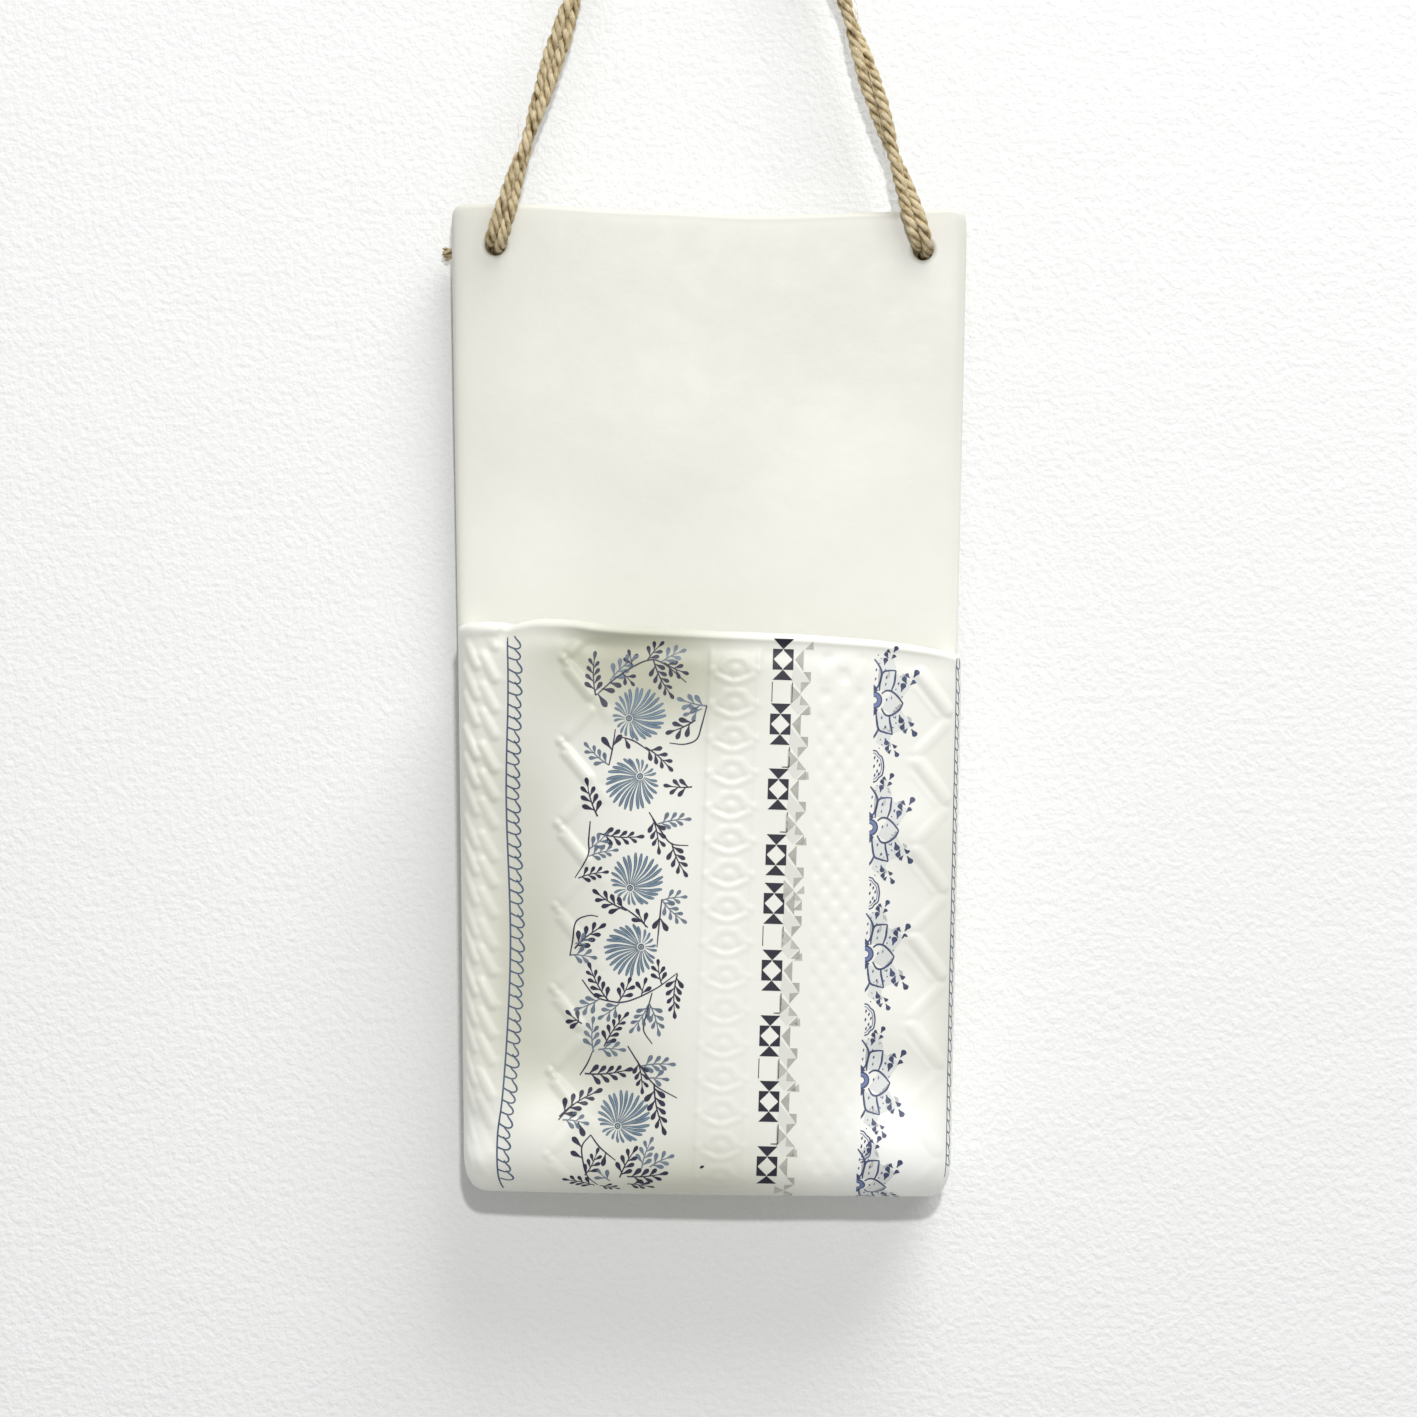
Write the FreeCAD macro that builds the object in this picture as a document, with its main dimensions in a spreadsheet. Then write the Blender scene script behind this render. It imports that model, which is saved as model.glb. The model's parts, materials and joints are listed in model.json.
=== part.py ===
import FreeCAD, Part
import math
import os

import Sketcher
from FreeCAD import Placement, Rotation, Vector

# Hanging wall vase: a flat porcelain slab with a draped front pocket, hung by a jute rope from a
# shoulder hook. All lengths are in millimetres and all angles in degrees.
#
# The part's frame: +Z up, +Y into the wall, the front faces -Y. The origin is on the hook's axis, in
# the plane of the wall. The slab and the pocket are drawn in the vase's own frame: its origin is at
# the slab's foot, on the back face, under the hook. That frame leans forward from the foot, because
# the knots behind the slab hold its top off the wall.

SIZES = [
    # the shoulder hook in the wall
    ("hook_wire_dia", 3.0, "wire of the hook's arm"),
    ("hook_shank_dia", 3.4, "screw shank in the wall"),
    ("hook_shank_length", 18.0, "screw shank behind the collar, without its point"),
    ("hook_point_length", 3.5, "tapered point of the shank"),
    ("hook_collar_dia", 8.0, "collar that stops against the wall"),
    ("hook_collar_thick", 1.2, "thickness of the collar"),
    ("hook_reach", 15.0, "wall to the middle of the upturned end"),
    ("hook_bend", 4.0, "bend radius at the middle of the wire"),
    ("hook_rise", 11.0, "hook's axis to the tip of the upturned end"),
    ("hook_tip_round", 1.1, "rounding of the tip"),
    # the back slab
    ("slab_thick", 4.5, "rolled thickness"),
    ("slab_left_foot", 60.9, "hook's axis to the left edge at the foot"),
    ("slab_right_foot", 61.0, "hook's axis to the right edge at the foot"),
    ("slab_left_top", 62.9, "hook's axis to the left edge at the top"),
    ("slab_right_top", 65.7, "hook's axis to the right edge at the top"),
    ("slab_left_height", 246.4, "foot level to the left top corner"),
    ("slab_right_height", 245.7, "foot level to the right top corner"),
    ("slab_foot_rise", 1.4, "the left foot corner is this much higher than the right one"),
    ("slab_top_corner", 2.4, "corner radius at the top"),
    ("slab_foot_corner", 8.0, "corner radius at the foot"),
    ("slab_edge_round", 1.6, "rounding of the slab's edges"),
    # the rope holes
    ("hole_dia", 5.2, "bore of both holes"),
    ("hole_mouth_round", 1.0, "rounding of the holes' mouths"),
    ("left_hole_out", 53.3, "hook's axis to the left hole"),
    ("right_hole_out", 54.5, "hook's axis to the right hole"),
    ("left_hole_drop", 8.9, "left top corner down to the left hole"),
    ("right_hole_drop", 9.4, "right top corner down to the right hole"),
    # the draped pocket
    ("pocket_depth", 30.0, "slab's front face to the pocket's front face beside its sides"),
    ("pocket_crown", 4.0, "the pocket's front bows out this much further between its sides"),
    ("pocket_wall", 3.8, "thickness of the draped slab"),
    ("pocket_inset", 0.6, "slab's edge to the pocket's side"),
    ("pocket_round", 7.5, "draped rounding between the front and the sides"),
    ("pocket_foot_corner", 8.0, "corner radius at the pocket's foot"),
    ("rim_left", 139.6, "foot level to the rim at the left"),
    ("rim_right", 133.4, "foot level to the rim at the right"),
    ("rim_round", 1.5, "rounding of the rim's edges"),
    # how it hangs
    ("foot_drop", 392.2, "hook's axis down to foot level"),
    ("wall_gap", 0.4, "air between the wall and what leans on it"),
    # the rope, its knots and its cut ends
    ("rope_dia", 4.6, "diameter of the twisted rope"),
    ("knot_depth", 10.5, "a knot's size away from the slab"),
    ("knot_dia", 12.4, "a knot's size across"),
    ("knot_seat_dia", 8.6, "flat of a knot against the slab, and at its other end"),
    ("knot_shoulder", 3.2, "a knot's seat to its widest part"),
    ("knot_round", 2.1, "rounding of a knot's shoulders"),
    ("left_tail_reach", 13.0, "middle of the left knot to the end of its tail"),
    ("left_tail_fall", 4.0, "angle of the left tail below level"),
    ("right_tail_reach", 20.0, "middle of the right knot to the end of its tail"),
    ("right_tail_fall", 68.0, "angle of the right tail below level"),
]

# The rope's route from the left knot to the right one, chosen by hand in the part's frame: out
# through the left hole, up the slab's front, over the hook's wire and back down.
ROPE_ROUTE = [
    (-53.3, -10.9, -154.9),
    (-53.3, -16.3, -155.15),
    (-52.3, -19.5, -152.0),
    (-3.35, -8.0, 4.1),
    (3.35, -8.0, 4.1),
    (53.5, -19.5, -153.2),
    (54.5, -16.25, -156.35),
    (54.5, -10.85, -156.1),
]
ARC_SHARE = 0.45  # share of the shorter run that an arc's tangent takes

TOLERANCE = 1e-4

# The vase's lean, in the sheet's terms: the left knot fits between the slab's back and the wall.
LEFT_HOLE_HEIGHT = "(Sizes.slab_left_height - Sizes.left_hole_drop)"
RIGHT_HOLE_HEIGHT = "(Sizes.slab_right_height - Sizes.right_hole_drop)"
LEAN = f"asin(Sizes.knot_depth / {LEFT_HOLE_HEIGHT})"

doc = FreeCAD.newDocument("hanging_wall_vase")


def make_sheet():
    """The sheet of driving sizes, one row each: meaning, value and alias."""
    sheet = doc.addObject("Spreadsheet::Sheet", "Sizes")
    for row, (alias, value, meaning) in enumerate(SIZES, start=1):
        sheet.set(f"A{row}", meaning)
        sheet.set(f"B{row}", str(value))
        sheet.setAlias(f"B{row}", alias)
    doc.recompute()
    return sheet


def origin_plane(body, role):
    """One of a body's own origin planes, by its role."""
    return next(item for item in body.Origin.OriginFeatures if item.Role == role)


def new_body(name):
    """A body whose label is its name."""
    body = doc.addObject("PartDesign::Body", name)
    body.Label = name
    return body


def new_sketch(body, name, role, offset=None):
    """A sketch on one of the body's origin planes, moved along its normal by an expression."""
    sketch = body.newObject("Sketcher::SketchObject", name)
    sketch.AttachmentSupport = (origin_plane(body, role), [""])
    sketch.MapMode = "FlatFace"
    if offset:
        sketch.setExpression("AttachmentOffset.Base.z", offset)
    return sketch


def bind_point(sketch, geometry, end, x, y):
    """Dimension one end of a sketch line from the origin, by two signed expressions."""
    for kind, expression in (("DistanceX", x), ("DistanceY", y)):
        if expression == "0":
            axis = -2 if kind == "DistanceX" else -1
            sketch.addConstraint(Sketcher.Constraint("PointOnObject", geometry, end, axis))
            continue
        start = evaluate(expression)
        index = sketch.addConstraint(Sketcher.Constraint(kind, -1, 1, geometry, end, start))
        sketch.setExpression(f"Constraints[{index}]", expression)


def draw_polygon(sketch, corners):
    """A closed polygon whose corners are pairs of expressions on the sheet."""
    count = len(corners)
    places = [Vector(evaluate(x), evaluate(y), 0) for x, y in corners]
    for index in range(count):
        line = Part.LineSegment(places[index], places[(index + 1) % count])
        sketch.addGeometry(line, False)
    for index in range(count):
        following = (index + 1) % count
        sketch.addConstraint(Sketcher.Constraint("Coincident", index, 2, following, 1))
    for index, (x, y) in enumerate(corners):
        bind_point(sketch, index, 1, x, y)


def evaluate(expression):
    """The plain number that an expression on the sheet stands for."""
    value = sheet.evalExpression(expression)
    return float(getattr(value, "Value", value))


def size(alias):
    """One driving size, as a plain number."""
    return float(sheet.get(alias))


def edges_where(shape, test):
    """The names of the edges that pass a test."""
    return [f"Edge{n}" for n, edge in enumerate(shape.Edges, start=1) if test(edge)]


def round_edges(body, base, name, radius, test):
    """Round the edges of a feature that pass a test, and return the new feature."""
    doc.recompute()
    names = edges_where(base.Shape, test)
    if not names:
        raise RuntimeError(f"{name} finds no edge")
    fillet = body.newObject("PartDesign::Fillet", name)
    fillet.Base = (base, names)
    fillet.setExpression("Radius", radius)
    doc.recompute()
    return fillet


def box_of(edge):
    """The box around an edge."""
    return edge.BoundBox


def is_level(low, high, value):
    """Whether a stretch lies at one value."""
    return abs(low - value) < TOLERANCE and abs(high - value) < TOLERANCE


def lean_placement(target, x="0", height="0", behind="0"):
    """Bind a Placement to a point of the leaning frame: x, height above the foot, depth behind."""
    target.Placement = Placement(Vector(0, 0, 0), Rotation(Vector(1, 0, 0), 1))
    target.setExpression("Placement.Rotation.Angle", LEAN)
    target.setExpression("Placement.Base.x", x)
    target.setExpression(
        "Placement.Base.y",
        f"-Sizes.wall_gap - {height} * sin({LEAN}) + {behind} * cos({LEAN})",
    )
    target.setExpression(
        "Placement.Base.z",
        f"-Sizes.foot_drop + {height} * cos({LEAN}) + {behind} * sin({LEAN})",
    )


# ---------------------------------------------------------------- the hook in the wall

def make_wall_hook():
    """Shank, point and collar turned about the hook's axis, with a bent arm of round wire."""
    body = new_body("wall_hook")
    profile = new_sketch(body, "turned_profile", "XY_Plane")
    shank_end = "Sizes.hook_shank_length"
    point_end = "(Sizes.hook_shank_length + Sizes.hook_point_length)"
    draw_polygon(profile, [
        ("0", "-Sizes.hook_collar_thick"),
        ("Sizes.hook_collar_dia / 2", "-Sizes.hook_collar_thick"),
        ("Sizes.hook_collar_dia / 2", "0"),
        ("Sizes.hook_shank_dia / 2", "0"),
        ("Sizes.hook_shank_dia / 2", shank_end),
        ("0", point_end),
    ])
    turned = body.newObject("PartDesign::Revolution", "turned_shank")
    turned.Profile = profile
    turned.ReferenceAxis = (profile, ["V_Axis"])
    turned.Angle = 360.0
    doc.recompute()

    path = new_sketch(body, "arm_path", "YZ_Plane")
    reach, bend, rise = size("hook_reach"), size("hook_bend"), size("hook_rise")
    start = Vector(-size("hook_collar_thick"), 0, 0)
    path.addGeometry(Part.LineSegment(start, Vector(bend - reach, 0, 0)), False)
    centre = Vector(bend - reach, bend, 0)
    circle = Part.Circle(centre, Vector(0, 0, 1), bend)
    path.addGeometry(Part.ArcOfCircle(circle, math.pi, 1.5 * math.pi), False)
    path.addGeometry(Part.LineSegment(Vector(-reach, bend, 0), Vector(-reach, rise, 0)), False)
    path.addConstraint(Sketcher.Constraint("Tangent", 0, 2, 1, 2))
    path.addConstraint(Sketcher.Constraint("Tangent", 1, 1, 2, 1))
    path.addConstraint(Sketcher.Constraint("PointOnObject", 0, 1, -1))
    path.addConstraint(Sketcher.Constraint("Horizontal", 0))
    path.addConstraint(Sketcher.Constraint("Vertical", 2))
    radius = path.addConstraint(Sketcher.Constraint("Radius", 1, bend))
    path.setExpression(f"Constraints[{radius}]", "Sizes.hook_bend")
    begin = path.addConstraint(Sketcher.Constraint("DistanceX", -1, 1, 0, 1, start.x))
    path.setExpression(f"Constraints[{begin}]", "-Sizes.hook_collar_thick")
    out = path.addConstraint(Sketcher.Constraint("DistanceX", -1, 1, 2, 2, -reach))
    path.setExpression(f"Constraints[{out}]", "-Sizes.hook_reach")
    up = path.addConstraint(Sketcher.Constraint("DistanceY", -1, 1, 2, 2, rise))
    path.setExpression(f"Constraints[{up}]", "Sizes.hook_rise")

    wire = new_sketch(body, "arm_section", "XZ_Plane", "Sizes.hook_collar_thick")
    wire.addGeometry(Part.Circle(Vector(0, 0, 0), Vector(0, 0, 1), size("hook_wire_dia") / 2))
    wire.addConstraint(Sketcher.Constraint("Coincident", 0, 3, -1, 1))
    across = wire.addConstraint(Sketcher.Constraint("Diameter", 0, size("hook_wire_dia")))
    wire.setExpression(f"Constraints[{across}]", "Sizes.hook_wire_dia")
    doc.recompute()
    arm = body.newObject("PartDesign::AdditivePipe", "bent_arm")
    arm.Profile = wire
    arm.Spine = path
    doc.recompute()

    round_edges(body, arm, "tip_rounding", "Sizes.hook_tip_round",
                lambda edge: is_level(box_of(edge).ZMin, box_of(edge).ZMax, size("hook_rise")))
    return body


# ---------------------------------------------------------------- the porcelain

def side_at(side, height):
    """The slab's half width on one side, at a height above the foot."""
    foot, top = f"Sizes.slab_{side}_foot", f"Sizes.slab_{side}_top"
    return f"({foot} + ({top} - {foot}) * {height} / Sizes.slab_{side}_height)"


def along_depth(edge):
    """Whether an edge is straight and runs along Y."""
    box = box_of(edge)
    return box.XLength < TOLERANCE and box.ZLength < TOLERANCE and box.YLength > TOLERANCE


def make_back_slab():
    """The rolled slab with its corners, its two rope holes and its rounded edges."""
    body = new_body("back_slab")
    outline = new_sketch(body, "slab_outline", "XZ_Plane")
    draw_polygon(outline, [
        ("-Sizes.slab_left_foot", "Sizes.slab_foot_rise"),
        ("Sizes.slab_right_foot", "0"),
        ("Sizes.slab_right_top", "Sizes.slab_right_height"),
        ("-Sizes.slab_left_top", "Sizes.slab_left_height"),
    ])
    pad = body.newObject("PartDesign::Pad", "slab_pad")
    pad.Profile = outline
    pad.setExpression("Length", "Sizes.slab_thick")

    foot = round_edges(body, pad, "foot_corners", "Sizes.slab_foot_corner",
                       lambda edge: along_depth(edge) and box_of(edge).ZMax < size("rim_right"))
    top = round_edges(body, foot, "top_corners", "Sizes.slab_top_corner",
                      lambda edge: along_depth(edge) and box_of(edge).ZMin > size("rim_left"))
    thick = size("slab_thick")
    rounded = round_edges(
        body, top, "edge_rounding", "Sizes.slab_edge_round",
        lambda edge: is_level(box_of(edge).YMin, box_of(edge).YMax, 0)
        or is_level(box_of(edge).YMin, box_of(edge).YMax, -thick))

    holes = new_sketch(body, "rope_holes", "XZ_Plane")
    places = [("-Sizes.left_hole_out", LEFT_HOLE_HEIGHT), ("Sizes.right_hole_out", RIGHT_HOLE_HEIGHT)]
    for index, (out, height) in enumerate(places):
        centre = Vector(evaluate(out), evaluate(height), 0)
        holes.addGeometry(Part.Circle(centre, Vector(0, 0, 1), size("hole_dia") / 2), False)
        bind_point(holes, index, 3, out, height)
        across = holes.addConstraint(Sketcher.Constraint("Diameter", index, size("hole_dia")))
        holes.setExpression(f"Constraints[{across}]", "Sizes.hole_dia")
    doc.recompute()
    solid_volume = rounded.Shape.Volume
    cut = body.newObject("PartDesign::Pocket", "holes_cut")
    cut.Profile = holes
    cut.Reversed = True
    cut.Type = "ThroughAll"
    doc.recompute()
    bored = 2 * math.pi * (size("hole_dia") / 2) ** 2 * thick
    if abs(solid_volume - cut.Shape.Volume - bored) > 0.01 * bored:
        raise RuntimeError("the rope holes don't go through the slab")

    def is_mouth(edge):
        box = box_of(edge)
        flat = is_level(box.YMin, box.YMax, 0) or is_level(box.YMin, box.YMax, -thick)
        return flat and isinstance(edge.Curve, Part.Circle) and edge.isClosed()

    round_edges(body, cut, "hole_mouths", "Sizes.hole_mouth_round", is_mouth)
    lean_placement(body)
    return body


def bow_front(body, name, front):
    """Cut a tray's front to an arc that bows out between the sides, through its whole height."""
    plan = new_sketch(body, f"{name}_plan", "XY_Plane")
    left, right = "-Sizes.slab_left_top", "Sizes.slab_right_top"
    clear = f"({front} + 2 * Sizes.pocket_crown)"
    corners = [(left, f"-{front}"), (left, f"-{clear}"), (right, f"-{clear}"), (right, f"-{front}")]
    places = [Vector(evaluate(x), evaluate(y), 0) for x, y in corners]
    for start, end in zip(places, places[1:]):
        plan.addGeometry(Part.LineSegment(start, end), False)
    crest = (places[0] + places[3]) / 2 - Vector(0, size("pocket_crown"), 0)
    plan.addGeometry(Part.Arc(places[0], crest, places[3]), False)
    bend = plan.Geometry[3].Radius
    plan.addConstraint(Sketcher.Constraint("Coincident", 0, 2, 1, 1))
    plan.addConstraint(Sketcher.Constraint("Coincident", 1, 2, 2, 1))
    plan.addConstraint(Sketcher.Constraint("Coincident", 3, 1, 0, 1))
    plan.addConstraint(Sketcher.Constraint("Coincident", 3, 2, 2, 2))
    for geometry, (x, y) in zip((0, 1, 2), corners):
        bind_point(plan, geometry, 1, x, y)
    bind_point(plan, 2, 2, *corners[3])
    radius = plan.addConstraint(Sketcher.Constraint("Radius", 3, bend))
    span = "(Sizes.slab_left_top + Sizes.slab_right_top)"
    plan.setExpression(
        f"Constraints[{radius}]",
        f"(({span} / 2) ^ 2 + Sizes.pocket_crown ^ 2) / (2 * Sizes.pocket_crown)")
    cut = body.newObject("PartDesign::Pocket", f"{name}_bowed")
    cut.Profile = plan
    cut.Midplane = True
    cut.Type = "ThroughAll"
    doc.recompute()
    return cut


def make_tray(name, inset, back, front, corner, rounding, above="0"):
    """A solid tray on the slab's outline: inset from it, its front bowed out and rounded."""
    body = new_body(name)
    outline = new_sketch(body, f"{name}_outline", "XZ_Plane", back)
    right_top, left_top = f"(Sizes.rim_right + {above})", f"(Sizes.rim_left + {above})"
    draw_polygon(outline, [
        (f"-(Sizes.slab_left_foot - {inset})", f"Sizes.slab_foot_rise + {inset}"),
        (f"Sizes.slab_right_foot - {inset}", inset),
        (f"{side_at('right', right_top)} - {inset}", right_top),
        (f"-({side_at('left', left_top)} - {inset})", left_top),
    ])
    pad = body.newObject("PartDesign::Pad", f"{name}_pad")
    pad.Profile = outline
    pad.setExpression("Length", f"{front} + Sizes.pocket_crown - ({back})")
    doc.recompute()
    bowed = bow_front(body, name, front)
    face = -evaluate(front)
    rim_low = min(size("rim_left"), size("rim_right"))

    def is_foot_corner(edge):
        return along_depth(edge) and box_of(edge).ZMax < rim_low / 2

    def is_front_outline(edge):
        box = box_of(edge)
        return box.YMax < face + TOLERANCE and box.ZMin < rim_low - TOLERANCE

    foot = round_edges(body, bowed, f"{name}_corners", corner, is_foot_corner)
    round_edges(body, foot, f"{name}_rounding", rounding, is_front_outline)
    return body


def make_front_pocket():
    """The draped slab: front, sides and foot in one wall, open at the top and towards the slab."""
    wall = "Sizes.pocket_wall"
    outside = make_tray(
        "pocket_outside", "Sizes.pocket_inset", "Sizes.slab_thick",
        "(Sizes.slab_thick + Sizes.pocket_depth)", "Sizes.pocket_foot_corner", "Sizes.pocket_round")
    hollow = make_tray(
        "pocket_hollow", f"(Sizes.pocket_inset + {wall})", f"(Sizes.slab_thick - {wall})",
        f"(Sizes.slab_thick + Sizes.pocket_depth - {wall})",
        f"Sizes.pocket_foot_corner - {wall}", f"Sizes.pocket_round - {wall}", above=wall)
    shell = doc.addObject("Part::Cut", "pocket_shell")
    shell.Base = outside
    shell.Tool = hollow
    doc.recompute()

    seam = -size("slab_thick")
    rim_low = min(size("rim_left"), size("rim_right"))

    def is_rim_edge(edge):
        box = box_of(edge)
        return box.ZMin > rim_low - TOLERANCE and not is_level(box.YMin, box.YMax, seam)

    radius = size("rim_round")
    pocket = doc.addObject("Part::Fillet", "front_pocket")
    pocket.Label = "front_pocket"
    pocket.Base = shell
    pocket.Edges = [(number, radius, radius) for number, edge in enumerate(shell.Shape.Edges, start=1)
                    if is_rim_edge(edge)]
    doc.recompute()
    lean_placement(pocket)
    return pocket


# ---------------------------------------------------------------- the rope

def tube_along(route, diameter):
    """A round tube along straight runs joined by tangent arcs, with the arcs' radii."""
    points = [Vector(*place) for place in route]
    edges, radii = [], []
    start = points[0]
    for before, corner, after in zip(points, points[1:], points[2:]):
        arriving = (corner - before).normalize()
        leaving = (after - corner).normalize()
        shorter = min((corner - before).Length, (after - corner).Length)
        half_turn = arriving.getAngle(leaving) / 2
        tangent = ARC_SHARE * shorter
        radii.append(tangent / math.tan(half_turn))
        first = corner - arriving * tangent
        last = corner + leaving * tangent
        inward = (leaving - arriving).normalize()
        centre = corner + inward * (radii[-1] / math.cos(half_turn))
        middle = centre - inward * radii[-1]
        edges.append(Part.LineSegment(start, first).toShape())
        edges.append(Part.Arc(first, middle, last).toShape())
        start = last
    edges.append(Part.LineSegment(start, points[-1]).toShape())
    path = Part.Wire(edges)
    section = Part.Wire(Part.Circle(points[0], points[1] - points[0], diameter / 2).toShape())
    tube = path.makePipeShell([section], True, False)
    return tube, path.Length, radii


def make_hanging_rope():
    """The rope from knot to knot."""
    diameter = size("rope_dia")
    tube, length, radii = tube_along(ROPE_ROUTE, diameter)
    print("rope radii:", [round(radius, 2) for radius in radii])
    expected = math.pi * (diameter / 2) ** 2 * length
    print("rope length:", round(length, 1), "volume share:", round(tube.Volume / expected, 5))
    if abs(tube.Volume / expected - 1) > 0.001:
        raise RuntimeError("the rope's volume isn't its section times its length")
    rope = doc.addObject("Part::Feature", "hanging_rope")
    rope.Label = "hanging_rope"
    rope.Shape = tube
    rope.Placement = Placement()
    return rope


def make_knot(name, out, height):
    """A stopper knot: a round bulge with a flat seat against the slab's back."""
    body = new_body(name)
    profile = new_sketch(body, f"{name}_profile", "XY_Plane")
    draw_polygon(profile, [
        ("0", "0"),
        ("Sizes.knot_seat_dia / 2", "0"),
        ("Sizes.knot_dia / 2", "Sizes.knot_shoulder"),
        ("Sizes.knot_dia / 2", "Sizes.knot_depth - Sizes.knot_shoulder"),
        ("Sizes.knot_seat_dia / 2", "Sizes.knot_depth"),
        ("0", "Sizes.knot_depth"),
    ])
    turned = body.newObject("PartDesign::Revolution", f"{name}_turned")
    turned.Profile = profile
    turned.ReferenceAxis = (profile, ["V_Axis"])
    turned.Angle = 360.0
    widest = size("knot_dia") / 2

    def is_shoulder(edge):
        return isinstance(edge.Curve, Part.Circle) and abs(edge.Curve.Radius - widest) < TOLERANCE

    round_edges(body, turned, f"{name}_shoulders", "Sizes.knot_round", is_shoulder)
    lean_placement(body, out, height)
    return body


def make_tail(name, knot, side, out, height):
    """A cut rope end: a short tube out of the knot's side, trimmed to the knot's surface."""
    stub = doc.addObject("Part::Cylinder", f"{name}_stub")
    stub.setExpression("Radius", "Sizes.rope_dia / 2")
    stub.setExpression("Height", f"Sizes.{name}_reach")
    # the cylinder's axis starts as +Z, and turns about Y to point out to its side and down
    lean_placement(stub, out, height, "Sizes.knot_depth / 2")
    stub.clearExpression("Placement.Rotation.Angle")
    stub.Placement = Placement(stub.Placement.Base, Rotation(Vector(0, side, 0), 1))
    stub.setExpression("Placement.Rotation.Angle", f"90 + Sizes.{name}_fall")
    tail = doc.addObject("Part::Cut", name)
    tail.Label = name
    tail.Base = stub
    tail.Tool = knot
    return tail


sheet = make_sheet()
wall_hook = make_wall_hook()
back_slab = make_back_slab()
front_pocket = make_front_pocket()
hanging_rope = make_hanging_rope()
left_knot = make_knot("left_knot", "-Sizes.left_hole_out", LEFT_HOLE_HEIGHT)
right_knot = make_knot("right_knot", "Sizes.right_hole_out", RIGHT_HOLE_HEIGHT)
left_tail = make_tail("left_tail", left_knot, -1, "-Sizes.left_hole_out", LEFT_HOLE_HEIGHT)
right_tail = make_tail("right_tail", right_knot, 1, "Sizes.right_hole_out", RIGHT_HOLE_HEIGHT)
SUB_PARTS = [wall_hook, back_slab, front_pocket, hanging_rope,
             left_knot, right_knot, left_tail, right_tail]

doc.recompute()

for item in doc.Objects:
    if "Invalid" in item.State or "Error" in item.State:
        raise RuntimeError(f"{item.Label} failed: {item.State}")
for part in SUB_PARTS:
    if part.Shape.isNull() or not part.Shape.isValid() or len(part.Shape.Solids) != 1:
        raise RuntimeError(f"{part.Label} isn't one valid solid")

os.makedirs("parts", exist_ok=True)
for part in SUB_PARTS:
    part.Shape.exportStep(f"parts/{part.Label}.step")
    box = part.Shape.BoundBox
    print(f"{part.Label}: {part.Shape.Volume:.0f} mm3, x {box.XMin:.1f}..{box.XMax:.1f}, "
          f"y {box.YMin:.1f}..{box.YMax:.1f}, z {box.ZMin:.1f}..{box.ZMax:.1f}")
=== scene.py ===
"""Looks of the hanging wall vase: porcelain slab and draped pocket, printed bands, jute rope, wall hook.

Sizes are in millimetres unless a name says otherwise, and meshes are in metres. The vase's own frame has
its origin at the slab's foot, on the back face, under the hook: x to the right, y into the wall and
h up. It leans forward from the foot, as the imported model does.
"""
from __future__ import annotations

import json
import logging
import math
import random
from collections import Counter
from contextlib import contextmanager
from dataclasses import dataclass, field
from enum import Enum
from typing import Any, Callable, Iterator, Protocol, Sequence

import bpy
import numpy as np
from mathutils import Matrix, Vector

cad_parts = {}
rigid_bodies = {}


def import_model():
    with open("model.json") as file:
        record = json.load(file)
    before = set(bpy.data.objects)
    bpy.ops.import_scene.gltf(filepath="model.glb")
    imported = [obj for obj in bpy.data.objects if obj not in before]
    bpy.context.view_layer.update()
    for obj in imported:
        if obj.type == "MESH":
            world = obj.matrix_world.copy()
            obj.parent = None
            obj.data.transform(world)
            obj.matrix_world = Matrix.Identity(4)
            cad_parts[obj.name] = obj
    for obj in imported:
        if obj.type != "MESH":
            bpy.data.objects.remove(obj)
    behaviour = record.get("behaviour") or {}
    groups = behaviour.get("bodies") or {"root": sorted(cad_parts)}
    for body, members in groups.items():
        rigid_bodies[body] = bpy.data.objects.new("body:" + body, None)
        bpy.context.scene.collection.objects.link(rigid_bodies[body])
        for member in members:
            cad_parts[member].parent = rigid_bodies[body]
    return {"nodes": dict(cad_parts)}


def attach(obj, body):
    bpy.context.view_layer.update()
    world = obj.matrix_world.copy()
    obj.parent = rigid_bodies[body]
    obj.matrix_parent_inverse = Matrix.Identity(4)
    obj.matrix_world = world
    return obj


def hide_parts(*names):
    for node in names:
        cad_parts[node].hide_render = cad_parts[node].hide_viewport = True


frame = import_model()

LOG = logging.getLogger("wall_vase")
MM = 0.001
Colour = tuple[float, float, float]
Place = tuple[float, float]
Array = np.ndarray
Piece = bpy.types.Object
Finish = bpy.types.Material
LEFT_HOLE: Place = (-53.3, 237.5)
RIGHT_HOLE: Place = (54.5, 236.3)


class Body(Enum):
    """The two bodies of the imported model."""

    HOOK = "hook"
    VASE = "vase"


class Slot(Enum):
    """The record's material slots."""

    PLAIN = "plain_porcelain"
    PRINTED = "printed_porcelain"
    JUTE = "jute"
    BRASS = "hook_brass"


class Pick(Enum):
    """What a selection is made of, as Blender's select mode holds it."""

    VERTS = (True, False, False)
    EDGES = (False, True, False)
    FACES = (False, False, True)


def srgb(red: int, green: int, blue: int) -> Colour:
    """The linear colour of three display values from 0 to 255."""
    def linear(value: int) -> float:
        """One channel, made linear."""
        share = value / 255
        return share / 12.92 if share <= 0.04045 else ((share + 0.055) / 1.055) ** 2.4
    return linear(red), linear(green), linear(blue)


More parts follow.
